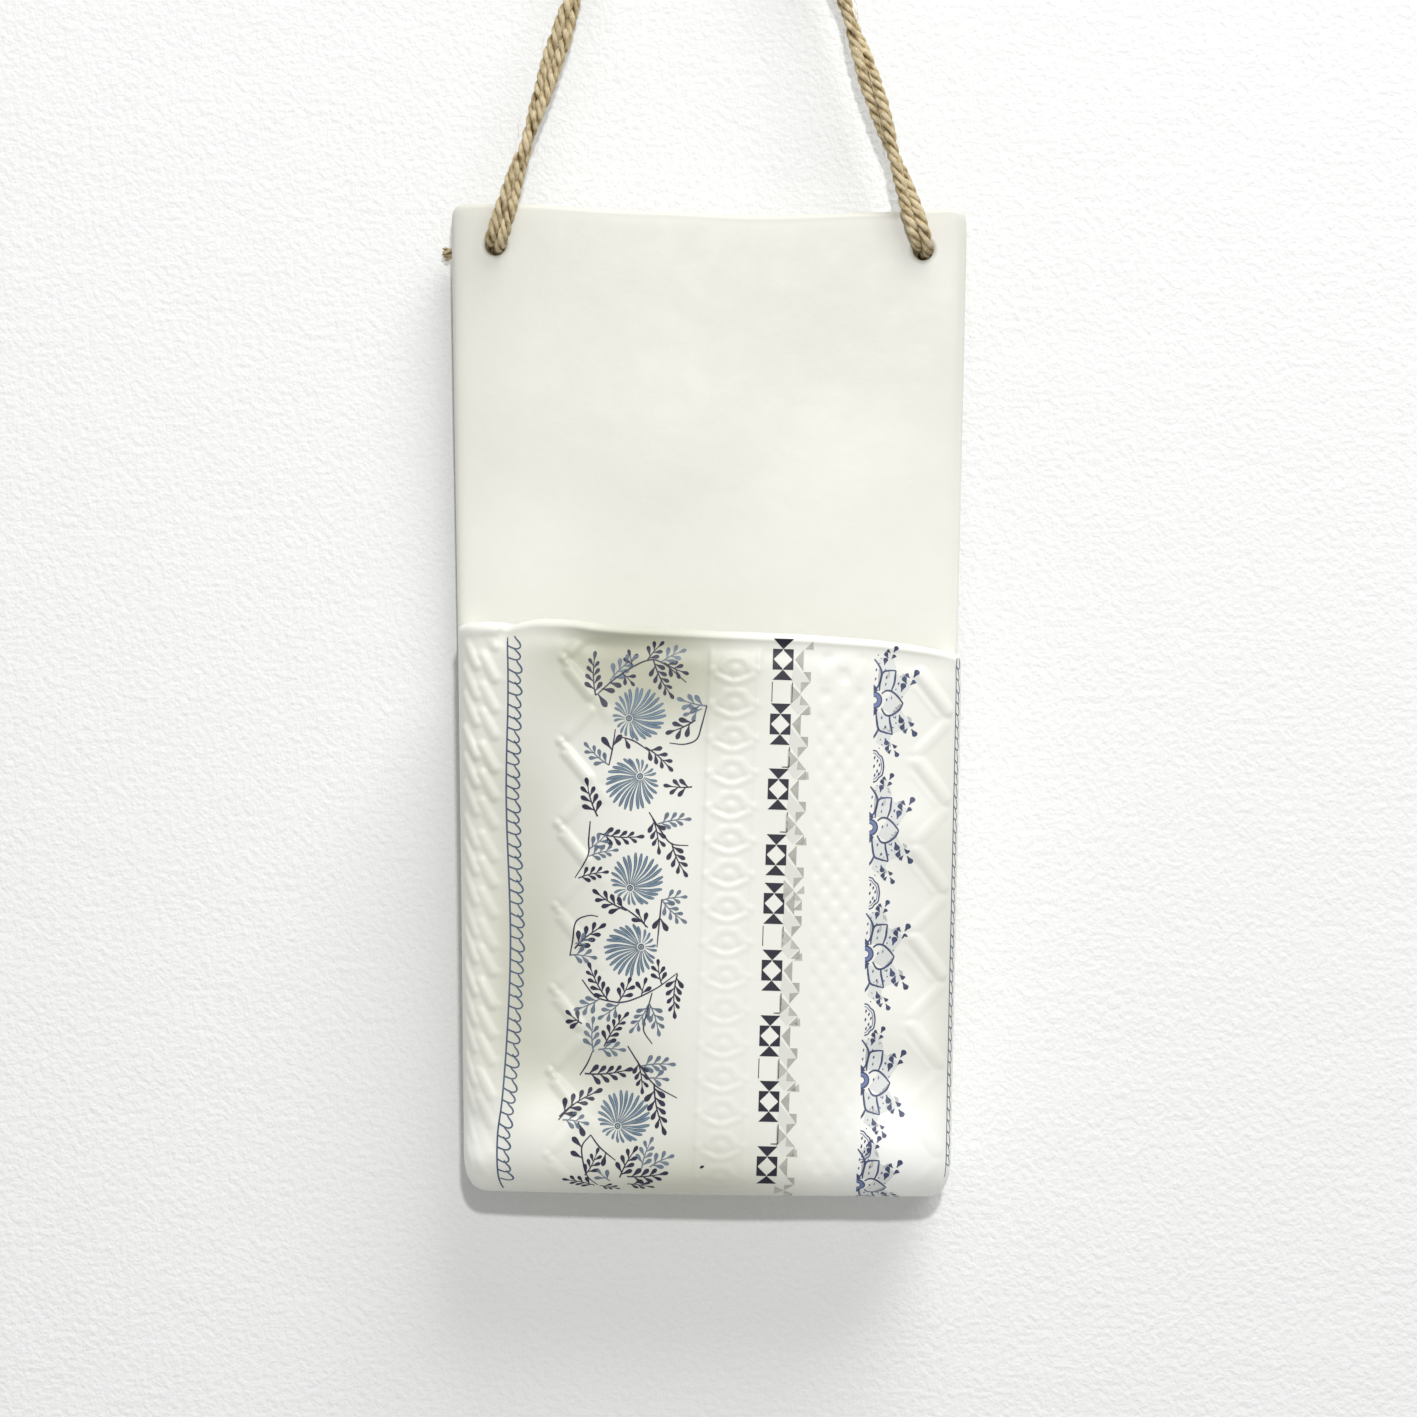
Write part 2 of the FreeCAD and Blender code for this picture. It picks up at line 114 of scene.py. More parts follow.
@dataclass(frozen=True)
class Mound:
    """A soft round rise over its middle, or a hollow where its height is negative."""

    height: float
    middle: Place
    reach: Place

    def rise(self, x: Array, h: Array) -> Array:
        """The rise at each place."""
        across, up = (x - self.middle[0]) / self.reach[0], (h - self.middle[1]) / self.reach[1]
        return self.height * np.exp(-across ** 2 - up ** 2)


@dataclass(frozen=True)
class Profile:
    """A value that runs straight from one point to the next."""

    points: tuple[Place, ...]

    def at(self, place: Array) -> Array:
        """The value at each place."""
        return np.interp(place, *zip(*self.points))


# ---- the bench

class Bench:
    """Blender's modelling tools, used on one piece at a time."""

    @staticmethod
    def clear() -> None:
        """Deselect every object and leave none active."""
        for item in bpy.context.view_layer.objects:
            item.select_set(False)
        bpy.context.view_layer.objects.active = None

    @staticmethod
    def hold(piece: Piece) -> None:
        """Make a piece the only selected and active one."""
        Bench.clear()
        piece.select_set(True)
        bpy.context.view_layer.objects.active = piece

    @staticmethod
    def name(title: str) -> Piece:
        """Name the object that a primitive operator has just made, and its data."""
        made = bpy.context.active_object
        made.name = title
        made.data.name = title
        return made

    @staticmethod
    def grid(title: str, columns: int, rows: int) -> Piece:
        """A unit grid of that many vertices each way.

        Args:
            title: The name of the new piece.
            columns: Vertices along x.
            rows: Vertices along y.
        Returns:
            The new piece, centred on the origin.
        """
        Bench.clear()
        bpy.ops.mesh.primitive_grid_add(x_subdivisions=columns - 1, y_subdivisions=rows - 1, size=1)
        return Bench.name(title)

    @staticmethod
    def points(piece: Piece) -> Array:
        """The piece's vertices as an array of rows."""
        flat = np.empty(len(piece.data.vertices) * 3)
        piece.data.vertices.foreach_get("co", flat)
        return flat.reshape(-1, 3)

    @staticmethod
    def shape(piece: Piece, points: Array) -> None:
        """Move the piece's vertices to these points."""
        piece.data.vertices.foreach_set("co", np.asarray(points, dtype=float).ravel())
        piece.data.update()

    @staticmethod
    def flatten(piece: Piece, flat: Array) -> None:
        """Move a flat piece's vertices to these places, in rows of two."""
        Bench.shape(piece, np.column_stack([flat, np.zeros(len(flat))]))

    @staticmethod
    def pick(piece: Piece, kind: Pick, chosen: Array | bool = True) -> None:
        """Select elements of a mesh, and nothing else of it.

        Args:
            piece: The mesh object.
            kind: Vertices, edges or faces.
            chosen: One truth value for each element of that kind, or one for all.
        """
        mesh = piece.data
        sets = {Pick.VERTS: mesh.vertices, Pick.EDGES: mesh.edges, Pick.FACES: mesh.polygons}
        for key, elements in sets.items():
            flags = np.full(len(elements), chosen if key is kind else False, dtype=bool)
            elements.foreach_set("select", flags)
        bpy.context.tool_settings.mesh_select_mode = kind.value

    @staticmethod
    @contextmanager
    def editing(piece: Piece) -> Iterator[None]:
        """Edit mode on one piece, left again at the end."""
        Bench.hold(piece)
        bpy.ops.object.mode_set(mode="EDIT")
        yield
        bpy.ops.object.mode_set(mode="OBJECT")

    @staticmethod
    def face_centres(piece: Piece) -> Array:
        """The middle of each face, as an array of rows."""
        flat = np.empty(len(piece.data.polygons) * 3)
        piece.data.polygons.foreach_get("center", flat)
        return flat.reshape(-1, 3)

    @staticmethod
    def edge_centres(piece: Piece) -> Array:
        """The middle of each edge, as an array of rows."""
        ends = np.empty(len(piece.data.edges) * 2, dtype=int)
        piece.data.edges.foreach_get("vertices", ends)
        return Bench.points(piece)[ends.reshape(-1, 2)].mean(axis=1)

    @staticmethod
    def open_edges(piece: Piece) -> list[bpy.types.MeshEdge]:
        """The edges that only one face uses."""
        uses = Counter(key for face in piece.data.polygons for key in face.edge_keys)
        return [edge for edge in piece.data.edges if uses[edge.key] == 1]

    @staticmethod
    def apply(piece: Piece, kind: str, **settings: Any) -> None:
        """Add a modifier, set it and apply it."""
        Bench.hold(piece)
        modifier = piece.modifiers.new(kind.title(), kind)
        for key, value in settings.items():
            setattr(modifier, key, value)
        bpy.ops.object.modifier_apply(modifier=modifier.name)

    @staticmethod
    def join(title: str, pieces: Sequence[Piece]) -> Piece:
        """Join pieces into one, under a new name."""
        Bench.clear()
        for piece in pieces:
            piece.select_set(True)
        bpy.context.view_layer.objects.active = pieces[0]
        if len(pieces) > 1:
            bpy.ops.object.join()
        return Bench.name(title)

    @staticmethod
    def smooth(piece: Piece, angle: float = 180.0) -> None:
        """Shade smooth, with edges sharper than the angle in degrees kept crisp."""
        Bench.hold(piece)
        bpy.ops.object.shade_smooth()
        if angle < 180:
            bpy.ops.object.shade_smooth_by_angle(angle=math.radians(angle))

    @staticmethod
    def outward(piece: Piece, merge: float = 0.0) -> None:
        """Merge doubles within a distance in metres and turn all faces outward."""
        Bench.pick(piece, Pick.FACES)
        with Bench.editing(piece):
            if merge:
                bpy.ops.mesh.remove_doubles(threshold=merge)
            bpy.ops.mesh.normals_make_consistent(inside=False)

    @staticmethod
    def settle(piece: Piece, placing: Matrix | None = None) -> None:
        """Put an object's own place, and one more matrix, into its mesh."""
        bpy.context.view_layer.update()
        full = (placing or Matrix.Identity(4)) @ piece.matrix_world
        piece.data.transform(full)
        piece.matrix_world = Matrix.Identity(4)
        piece.data.update()

    @staticmethod
    def mesh(title: str, points: Array, faces: Sequence[Sequence[int]]) -> Piece:
        """A mesh object from points and faces."""
        data = bpy.data.meshes.new(title)
        data.from_pydata([tuple(point) for point in points], [], faces)
        data.update()
        piece = bpy.data.objects.new(title, data)
        bpy.context.scene.collection.objects.link(piece)
        return piece

    @staticmethod
    def tone(piece: Piece, tones: Array) -> Piece:
        """Store a tone at each vertex of a piece."""
        layer = piece.data.attributes.new("tone", "FLOAT", "POINT")
        layer.data.foreach_set("value", np.asarray(tones, dtype=float))
        return piece

    @staticmethod
    def copy(piece: Piece, title: str) -> Piece:
        """A copy of a piece, with its own mesh."""
        twin = piece.copy()
        twin.data = piece.data.copy()
        twin.name = title
        bpy.context.scene.collection.objects.link(twin)
        return twin

    @staticmethod
    def cut_left(piece: Piece) -> Piece:
        """Cut off what lies to the left of a flat piece's own middle line."""
        Bench.pick(piece, Pick.FACES)
        with Bench.editing(piece):
            bpy.ops.mesh.bisect(plane_co=(0, 0, 0), plane_no=(1, 0, 0), clear_inner=True)
        return piece

    @staticmethod
    def dress(piece: Piece, finish: Finish, slot: Slot | None,
              body: Body, stands_for: Sequence[str] = ()) -> Piece:
        """Give a finished piece its material and body, and hide the nodes that it stands for."""
        piece.data.materials.clear()
        piece.data.materials.append(finish)
        if stands_for:
            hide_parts(*stands_for)
        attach(piece, body.value)
        LOG.info("%s: %d faces, rides on %s", piece.name, len(piece.data.polygons), body.value)
        return piece


# ---- shader maths

class Signal:
    """A shader socket that takes part in Python arithmetic."""

    def __init__(self, shader: "Shader", socket: bpy.types.NodeSocket) -> None:
        """Wrap one output socket of a shader."""
        self.shader = shader
        self.socket = socket

    def _math(self, operation: str, first: "Signal | float", second: "Signal | float") -> "Signal":
        """One Math node on two numbers or signals."""
        made = self.shader.node("ShaderNodeMath", {"operation": operation}, {0: first, 1: second})
        return Signal(self.shader, made.outputs[0])

    def __add__(self, other: "Signal | float") -> "Signal":
        """Sum."""
        return self._math("ADD", self, other)

    def __radd__(self, other: float) -> "Signal":
        """Sum, with the number first."""
        return self._math("ADD", other, self)

    def __sub__(self, other: "Signal | float") -> "Signal":
        """Difference."""
        return self._math("SUBTRACT", self, other)

    def __mul__(self, other: "Signal | float") -> "Signal":
        """Product."""
        return self._math("MULTIPLY", self, other)


class Shader:
    """A material under construction, with its Principled shader."""

    def __init__(self, title: str, **constants: Any) -> None:
        """Start a material.

        Args:
            title: The material's name.
            constants: Socket values of the Principled shader, with _ for a space.
        """
        self.material = bpy.data.materials.new(title)
        self.material.use_nodes = True
        self.tree = self.material.node_tree
        self.tree.nodes.clear()
        self.surface = self.node("ShaderNodeBsdfPrincipled")
        self.output = self.node("ShaderNodeOutputMaterial", {}, {"Surface": self.surface.outputs[0]})
        for key, value in constants.items():
            self.surface.inputs[key.replace("_", " ")].default_value = value

    def node(self, kind: str, settings: dict[str, Any] | None = None,
             sockets: dict[Any, Any] | None = None) -> bpy.types.Node:
        """Make a node.

        Args:
            kind: The node's type.
            settings: Its properties, and "stops" for the places and colours of a ramp.
            sockets: Values or links by socket name or number.
        Returns:
            The new node.
        """
        made = self.tree.nodes.new(kind)
        for key, value in (settings or {}).items():
            if key == "stops":
                self._set_stops(made.color_ramp, value)
            else:
                setattr(made, key, value)
        for key, value in (sockets or {}).items():
            self.feed(made.inputs[key], value)
        return made

    @staticmethod
    def _set_stops(ramp: bpy.types.ColorRamp, stops: Sequence[tuple[float, Colour]]) -> None:
        """Give a ramp its stops."""
        while len(ramp.elements) < len(stops):
            ramp.elements.new(1.0)
        for element, (place, colour) in zip(ramp.elements, stops):
            element.position = place
            element.color = (*colour, 1.0)

    def feed(self, socket: bpy.types.NodeSocket, value: Any) -> None:
        """Set a socket to a value, or link it to a signal or another socket."""
        if isinstance(value, Signal):
            self.tree.links.new(value.socket, socket)
        elif isinstance(value, bpy.types.NodeSocket):
            self.tree.links.new(value, socket)
        elif isinstance(value, tuple) and socket.type == "RGBA":
            socket.default_value = (*value, 1.0)
        else:
            socket.default_value = value

    def out(self, node: bpy.types.Node, name: str | int = 0) -> Signal:
        """One output of a node, as a signal."""
        return Signal(self, node.outputs[name])

    def places(self, scale: Vector | tuple[float, float, float] = (1, 1, 1)) -> Signal:
        """Object coordinates, stretched."""
        source = self.node("ShaderNodeTexCoord")
        mapped = self.node("ShaderNodeMapping", {}, {"Vector": source.outputs["Object"], "Scale": scale})
        return self.out(mapped)

    def attribute(self, name: str, output: str = "Fac") -> Signal:
        """A mesh attribute."""
        return self.out(self.node("ShaderNodeAttribute", {"attribute_name": name}), output)

    def noise(self, places: Signal, scale: float, detail: float = 3.0, rough: float = 0.5) -> Signal:
        """Soft noise from 0 to 1."""
        made = self.node("ShaderNodeTexNoise", {},
                         {"Vector": places, "Scale": scale, "Detail": detail, "Roughness": rough})
        return self.out(made, "Fac")

    def ramp(self, factor: Signal, stops: Sequence[tuple[float, Colour]]) -> Signal:
        """A colour looked up along a ramp."""
        return self.out(self.node("ShaderNodeValToRGB", {"stops": stops}, {"Fac": factor}), "Color")

    def blend(self, factor: Signal | float, first: Any, second: Any) -> Signal:
        """A mix of two colours."""
        made = self.node("ShaderNodeMix", {"data_type": "RGBA"}, {0: factor, 6: first, 7: second})
        return self.out(made, 2)

    def bump(self, height: Signal, strength: float, depth: float) -> Signal:
        """A normal bent by a height, with its depth in metres."""
        made = self.node("ShaderNodeBump", {}, {"Height": height, "Strength": strength, "Distance": depth})
        return self.out(made)

    def finish(self, **links: Signal) -> Finish:
        """Link signals to the Principled shader's sockets and return the material."""
        for key, value in links.items():
            self.feed(self.surface.inputs[key.replace("_", " ")], value)
        return self.material


# ---- finishes

@dataclass(frozen=True)
class Porcelain:
    """Warm white porcelain with a satin skin: its tone runs from dull through plain to white, where dull is
    painted shade and white is painted highlight.
    """

    title: str
    dull: Colour
    plain: Colour
    white: Colour
    roughness: float = 0.4

    def material(self) -> Finish:
        """The finished material."""
        shader = Shader(self.title, IOR=1.5, Specular_IOR_Level=0.42)
        places = shader.places()
        clouds = shader.noise(places, 22.0, 3.0, 0.55)
        grain = shader.noise(places, 900.0, 2.0, 0.6)
        ripple = shader.noise(places, 130.0, 3.0, 0.5)
        # the stored tone is painted shade and painted highlight; the clouds add tone that differs at random
        tone = shader.attribute("tone") + clouds * 0.1 - 0.05
        colour = shader.ramp(tone, [(0.0, self.dull), (0.5, self.plain), (1.0, self.white)])
        height = grain * 0.12 + ripple * 0.88
        return shader.finish(Base_Color=colour, Roughness=self.roughness - 0.06 + ripple * 0.12,
                             Normal=shader.bump(height, 0.28, 0.00035))


@dataclass(frozen=True)
class Ink:
    """Transfer print fused into the porcelain: thin and thick places of one colour."""

    title: str
    deep: Colour
    thin: Colour

    def material(self) -> Finish:
        """The finished material."""
        shader = Shader(self.title, IOR=1.5, Specular_IOR_Level=0.42)
        places = shader.places()
        wash = shader.noise(places, 420.0, 3.0, 0.6)
        speck = shader.noise(places, 2600.0, 2.0, 0.6)
        tone = shader.attribute("tone")
        share = wash * 0.55 + speck * 0.25 + tone * 0.55 - 0.18
        colour = shader.ramp(share, [(0.12, self.deep), (0.88, self.thin)])
        return shader.finish(Base_Color=colour, Roughness=0.36 + speck * 0.12)


@dataclass(frozen=True)
class Jute:
    """Jute strands: fibres along the lay, with painted shade that turns the hollows brown and leaves the
    ridges pale.
    """

    title: str
    light: Colour = srgb(226, 210, 174)
    middle: Colour = srgb(180, 158, 116)
    dark: Colour = srgb(92, 74, 44)

    def material(self) -> Finish:
        """The finished material."""
        shader = Shader(self.title, IOR=1.45, Specular_IOR_Level=0.25)
        lay = shader.attribute("lay", "Vector")
        fibres = shader.noise(lay, 9.0, 4.0, 0.65)
        hairs = shader.noise(lay, 26.0, 3.0, 0.6)
        patches = shader.noise(shader.places(), 420.0, 2.0, 0.5)
        depth = shader.attribute("hollow")
        # painted shade: the deeper a point lies in the rope, the darker its jute
        share = fibres * 0.8 + hairs * 0.6 + patches * 0.9 - depth * 0.62 - 0.53
        colour = shader.ramp(share, [(0.12, self.dark), (0.42, self.middle), (0.66, self.light)])
        normal = shader.bump(fibres * 0.6 + hairs * 0.4, 0.9, 0.0004)
        return shader.finish(Base_Color=colour, Roughness=0.7 + hairs * 0.2, Normal=normal)


@dataclass(frozen=True)
class Brass:
    """Bright turned brass with a little tarnish."""

    title: str

    def material(self) -> Finish:
        """The finished material."""
        shader = Shader(self.title, Metallic=1.0)
        places = shader.places()
        tarnish = shader.noise(places, 260.0, 4.0, 0.6)
        lines = shader.noise(shader.places((1, 40, 1)), 180.0, 2.0, 0.5)
        colour = shader.ramp(tarnish, [(0.3, srgb(150, 112, 52)), (0.65, srgb(214, 176, 96))])
        return shader.finish(Base_Color=colour, Roughness=0.2 + tarnish * 0.25,
                             Normal=shader.bump(lines, 0.12, 0.0001))


@dataclass(frozen=True)
class Plaster:
    """The painted plaster of the wall, seen only from its front."""

    title: str = "painted_plaster"
    colour: Colour = srgb(246, 247, 246)

    def material(self) -> Finish:
        """The finished material, clear from behind."""
        shader = Shader(self.title, Specular_IOR_Level=0.2)
        places = shader.places()
        dapple = shader.noise(places, 560.0, 4.0, 0.55)
        swell = shader.noise(places, 60.0, 3.0, 0.5)
        colour = shader.blend(swell, self.colour, tuple(0.985 * value for value in self.colour))
        normal = shader.bump(dapple * 0.8 + swell * 0.6, 0.55, 0.0011)
        material = shader.finish(Base_Color=colour, Roughness=0.9 + dapple * 0.05, Normal=normal)
        clear = shader.node("ShaderNodeBsdfTransparent")
        facing = shader.node("ShaderNodeNewGeometry")
        mixed = shader.node("ShaderNodeMixShader", {}, {
            0: facing.outputs["Backfacing"], 1: shader.surface.outputs[0], 2: clear.outputs[0]})
        shader.feed(shader.output.inputs["Surface"], mixed.outputs[0])
        return material


@dataclass(frozen=True)
class Palette:
    """The finishes of the clay, the inks, the rope and the hook."""

    # each porcelain's dull colour is its painted shade and its white colour its painted highlight
    plain: Porcelain = Porcelain(
        Slot.PLAIN.value, srgb(198, 197, 186), srgb(238, 237, 229), srgb(250, 250, 245))
    glazed: Porcelain = Porcelain(
        Slot.PRINTED.value, srgb(186, 186, 166), srgb(239, 239, 231), srgb(253, 253, 249))
    indigo: Ink = Ink("indigo_ink", srgb(36, 36, 56), srgb(68, 68, 98))
    slate: Ink = Ink("slate_blue_ink", srgb(48, 66, 88), srgb(128, 152, 170))
    blue: Ink = Ink("grey_blue_ink", srgb(88, 102, 120), srgb(148, 160, 172))
    border: Ink = Ink("border_ink", srgb(60, 78, 106), srgb(112, 128, 148))
    patchwork: Ink = Ink("patchwork_ink", srgb(28, 27, 42), srgb(60, 58, 74))
    pinwheel: Ink = Ink("pinwheel_ink", srgb(164, 164, 154), srgb(224, 224, 217))
    lotus: Ink = Ink("lotus_ink", srgb(46, 54, 82), srgb(116, 130, 172))
    lotus_wash: Ink = Ink("lotus_wash_ink", srgb(136, 140, 144), srgb(222, 224, 221))
    jute: Jute = Jute(Slot.JUTE.value)
    brass: Brass = Brass(Slot.BRASS.value)


# ---- the vase's frame

def drawn_in(parts: Sequence[Array], power: float = 2.0) -> list[Array]:
    """Draw points of a unit cube, or of a square, in to a rounded one.

    Args:
        parts: Their places along each axis, from -1 to 1.
        power: How square the rounding is, from 2 for a ball.
    Returns:
        The new places along each axis.
    """
    reach = np.maximum(sum(np.abs(part) ** power for part in parts) ** (1 / power), 1e-9)
    largest = np.maximum.reduce([np.abs(part) for part in parts])
    pull = np.where(largest > 1e-9, largest / reach, 1.0)
    return [part * pull for part in parts]


@dataclass(frozen=True)
class Hang:
    """How the vase hangs: it leans forward from its foot, because the knots hold its top off the wall."""

    foot_drop: float = 392.2
    wall_gap: float = 0.4
    left_hole_height: float = LEFT_HOLE[1]
    knot_depth: float = 10.5

    @property
    def lean(self) -> float:
        """The lean in radians."""
        return math.asin(self.knot_depth / self.left_hole_height)

    def matrix(self) -> Matrix:
        """From the vase's own frame to the part's frame, both in metres."""
        foot = Vector((0, -self.wall_gap, -self.foot_drop)) * MM
        return Matrix.Translation(foot) @ Matrix.Rotation(self.lean, 4, "X")

    def place(self, x: float, y: float, h: float) -> Vector:
        """A point of the vase's own frame, in millimetres, as a point of the part's frame in metres."""
        return self.matrix() @ (Vector((x, y, h)) * MM)


@dataclass(frozen=True)
class Outline:
    """The slab's outline, which the pocket shares."""

    left_foot: float = 60.9
    right_foot: float = 61.0
    left_top: float = 62.9
    right_top: float = 65.7
    left_height: float = 246.4
    right_height: float = 245.7
    foot_rise: float = 1.4
    thick: float = 4.5
    dip: float = 2.5

    def left(self, h: Array | float) -> Array | float:
        """The left edge at a height."""
        return -(self.left_foot + (self.left_top - self.left_foot) * h / self.left_height)

    def right(self, h: Array | float) -> Array | float:
        """The right edge at a height."""
        return self.right_foot + (self.right_top - self.right_foot) * h / self.right_height

    def foot(self, x: Array) -> Array:
        """The lower edge at a place across."""
        share = (x + self.left_foot) / (self.left_foot + self.right_foot)
        return self.foot_rise * (1 - share)

    def top(self, x: Array) -> Array:
        """The upper edge at a place across: a shallow hand-cut dip between the corners."""
        share = np.clip((x + self.left_top) / (self.left_top + self.right_top), 0, 1)
        dip = self.dip * np.sin(math.pi * share ** 1.35) ** 1.4 + 0.16 * np.sin(23 * share + 0.7)
        return self.left_height + (self.right_height - self.left_height) * share - dip


# ---- the slab

@dataclass
class BackSlab:
    """The rolled slab with its two rope holes."""

    hang: Hang
    outline: Outline
    columns: int = 27
    rows: int = 52
    edge_round: float = 1.6
    mouth_round: float = 1.0
    hole_radius: float = 2.6
    mouth_reach: float = 5.0
    holes: tuple[Place, ...] = (LEFT_HOLE, RIGHT_HOLE)
    corner: float = 1.8
    foot_corner: float = 4.6
    # a broad patch of painted shade over the slab's middle
    shade: Mound = Mound(-0.09, (0, 185), (48, 45))

    def build(self, finish: Finish) -> Piece:
        """Model the slab.

        Args:
            finish: Its porcelain.
        Returns:
            The slab, in place of its node.
        """
        slab = Bench.grid("porcelain_slab", self.columns, self.rows)
        self._lay_out(slab)
        for hole in self.holes:
            self._open_hole(slab, hole)
        Bench.apply(slab, "SOLIDIFY", thickness=self.outline.thick * MM, offset=1.0)
        self._bevel(slab, True, lambda one, other: one.dot(other) < 0.5, self.mouth_round)
        self._bevel(slab, False, lambda one, other: abs(one.y - other.y) > 0.5, self.edge_round)
        Bench.apply(slab, "SUBSURF", levels=2, render_levels=2)
        self._settle_surface(slab)
        Bench.outward(slab)
        Bench.smooth(slab)
        points = Bench.points(slab) / MM
        # store the painted shade as the slab's tone
        Bench.tone(slab, self.painted_shading(points[:, 0], points[:, 2]))
        Bench.settle(slab, self.hang.matrix())
        return Bench.dress(slab, finish, Slot.PLAIN, Body.VASE, ["back_slab"])

    def painted_shading(self, x: Array, h: Array) -> Array:
        """The slab's painted shade: duller to the top and the left edge, and over a broad patch in its
        middle, so it is whitest low down; a faint ripple of tone runs across it.
        """
        top = np.clip((h - 165) / 80, 0, 1)
        return (0.49 - 0.22 * top ** 1.2 - 0.1 * np.exp(-((x + 62) / 12) ** 2)
                + self.shade.rise(x, h) + 0.02 * np.sin(x / 17.0 + h / 29.0))

    def _lay_out(self, slab: Piece) -> None:
        """Move the grid to the slab's outline, with a column and a row through each hole's middle."""
        unit = Bench.points(slab)
        across, up = unit[:, 0] + 0.5, unit[:, 1] + 0.5
        low_x, high_x = self.outline.left(np.zeros(1))[0], self.outline.right(np.zeros(1))[0]
        x0 = low_x + (high_x - low_x) * across
        base = self.outline.foot(x0)
        height = base + (self.outline.top(x0) - base) * up
        left, right = self.outline.left(height), self.outline.right(height)
        x = left + (right - left) * across
        x, height = self._round_corners(x, height, left, right)
        Bench.shape(slab, np.column_stack([x, np.zeros(len(x)), height]) * MM)

    def _round_corners(self, x: Array, h: Array, left: Array, right: Array) -> tuple[Array, Array]:
        """Draw the four corners in to their radii.

        Args:
            x: Places across.
            h: Heights.
            left: The left edge at each height.
            right: The right edge at each height.
        Returns:
            The new places across and heights.
        """
        foot, top = self.outline.foot(x), self.outline.top(x)
        low = h < (foot + top) / 2
        radius = np.where(low, self.foot_corner, self.corner)
        core_x = np.clip(x, left + radius, right - radius)
        core_h = np.clip(h, foot + radius, top - radius)
        dx, dh = drawn_in([(x - core_x) / radius, (h - core_h) / radius])
        return core_x + dx * radius, core_h + dh * radius

    def _open_hole(self, slab: Piece, hole: Place) -> None:
        """Cut a square of faces out and draw its border in to a ring."""
        x, h = hole[0] * MM, hole[1] * MM
        centres = Bench.face_centres(slab)
        nearest = np.argsort(np.hypot(centres[:, 0] - x, centres[:, 2] - h))[:4]
        corners = sorted({index for face in nearest for index in slab.data.polygons[face].vertices})
        rim = Bench.points(slab)[corners]
        Bench.pick(slab, Pick.FACES, np.isin(np.arange(len(centres)), nearest))
        with Bench.editing(slab):
            bpy.ops.mesh.delete(type="FACE")
        points = Bench.points(slab)
        ring = self._open_border(slab, rim)
        offsets = points[ring][:, [0, 2]] - np.array([x, h])
        angles = np.arctan2(offsets[:, 1], offsets[:, 0])
        order = np.argsort(angles)
        even = np.linspace(0, 2 * math.pi, len(ring), endpoint=False)
        shift = np.angle(np.mean(np.exp(1j * (angles[order] - even))))
        radius = (self.hole_radius + self.mouth_round * 1.7) * MM
        for index, angle in zip(np.array(ring)[order], even + shift):
            points[index] = (x + radius * math.cos(angle), 0, h + radius * math.sin(angle))
        Bench.shape(slab, points)
        Bench.pick(slab, Pick.VERTS, np.isin(np.arange(len(points)), ring))
        share = self.hole_radius * 1.04 * MM / radius
        with Bench.editing(slab):
            bpy.ops.mesh.extrude_region_move()
            bpy.ops.transform.resize(value=(share, share, share), center_override=(x, 0, h))

    @staticmethod
    def _open_border(slab: Piece, rim: Array) -> list[int]:
        """The vertices of the open border that stand at any of the rim's places."""
        border = sorted({index for edge in Bench.open_edges(slab) for index in edge.key})
        points = Bench.points(slab)
        return [index for index in border if np.linalg.norm(rim - points[index], axis=1).min() < 0.01 * MM]

    def _bevel(self, slab: Piece, at_mouths: bool, crisp: Callable[[Vector, Vector], bool],
               width: float) -> None:
        """Bevel crisp edges of the slab.

        Args:
            slab: The slab.
            at_mouths: Whether the edges are those at the holes' mouths, or all the others.
            crisp: Whether an edge is crisp, by the normals of its two faces.
            width: How far the bevel reaches to either side.
        """
        slab.data.update()
        centres = Bench.edge_centres(slab) / MM
        mouths = np.zeros(len(centres), dtype=bool)
        for x, h in self.holes:
            mouths |= np.hypot(centres[:, 0] - x, centres[:, 2] - h) < self.mouth_reach
        normals: dict[tuple[int, int], list[Vector]] = {key: [] for key in slab.data.edge_keys}
        for face in slab.data.polygons:
            for key in face.edge_keys:
                normals[key].append(face.normal.copy())
        pairs = [normals[edge.key] for edge in slab.data.edges]
        chosen = np.array([len(pair) == 2 and crisp(*pair) for pair in pairs]) & (mouths == at_mouths)
        Bench.pick(slab, Pick.EDGES, chosen)
        with Bench.editing(slab):
            bpy.ops.mesh.bevel(offset=width * MM, segments=2, profile=0.5)

    def _settle_surface(self, slab: Piece) -> None:
        """Give the slab the slow unevenness of rolled clay."""
        points = Bench.points(slab)
        x, h = points[:, 0] / MM, points[:, 2] / MM
        wave = (0.22 * np.sin(x / 17 + 0.6) * np.sin(h / 31 + 1.1)
                + 0.13 * np.sin(x / 9 - h / 14) + 0.1 * np.sin(h / 8.5 + x / 33 + 2))
        keep = np.clip((h - 150) / 30, 0, 1)
        points[:, 1] += wave * keep * MM
        Bench.shape(slab, points)


# ---- the relief

def rod(x: Array, h: Array, start: Place, end: Place, width: float) -> Array:
    """A round-topped bar.

    Args:
        x: Places across.
        h: Heights.
        start: One end.
        end: The other end.
        width: The bar's width.
    Returns:
        From 0 off the bar to 1 along its middle.
    """
    ax, ah = start
    dx, dh = end[0] - ax, end[1] - ah
    along = np.clip(((x - ax) * dx + (h - ah) * dh) / (dx * dx + dh * dh), 0, 1)
    away = np.hypot(x - ax - along * dx, h - ah - along * dh)
    return np.clip(1 - (2 * away / width) ** 2, 0, 1) ** 1.4


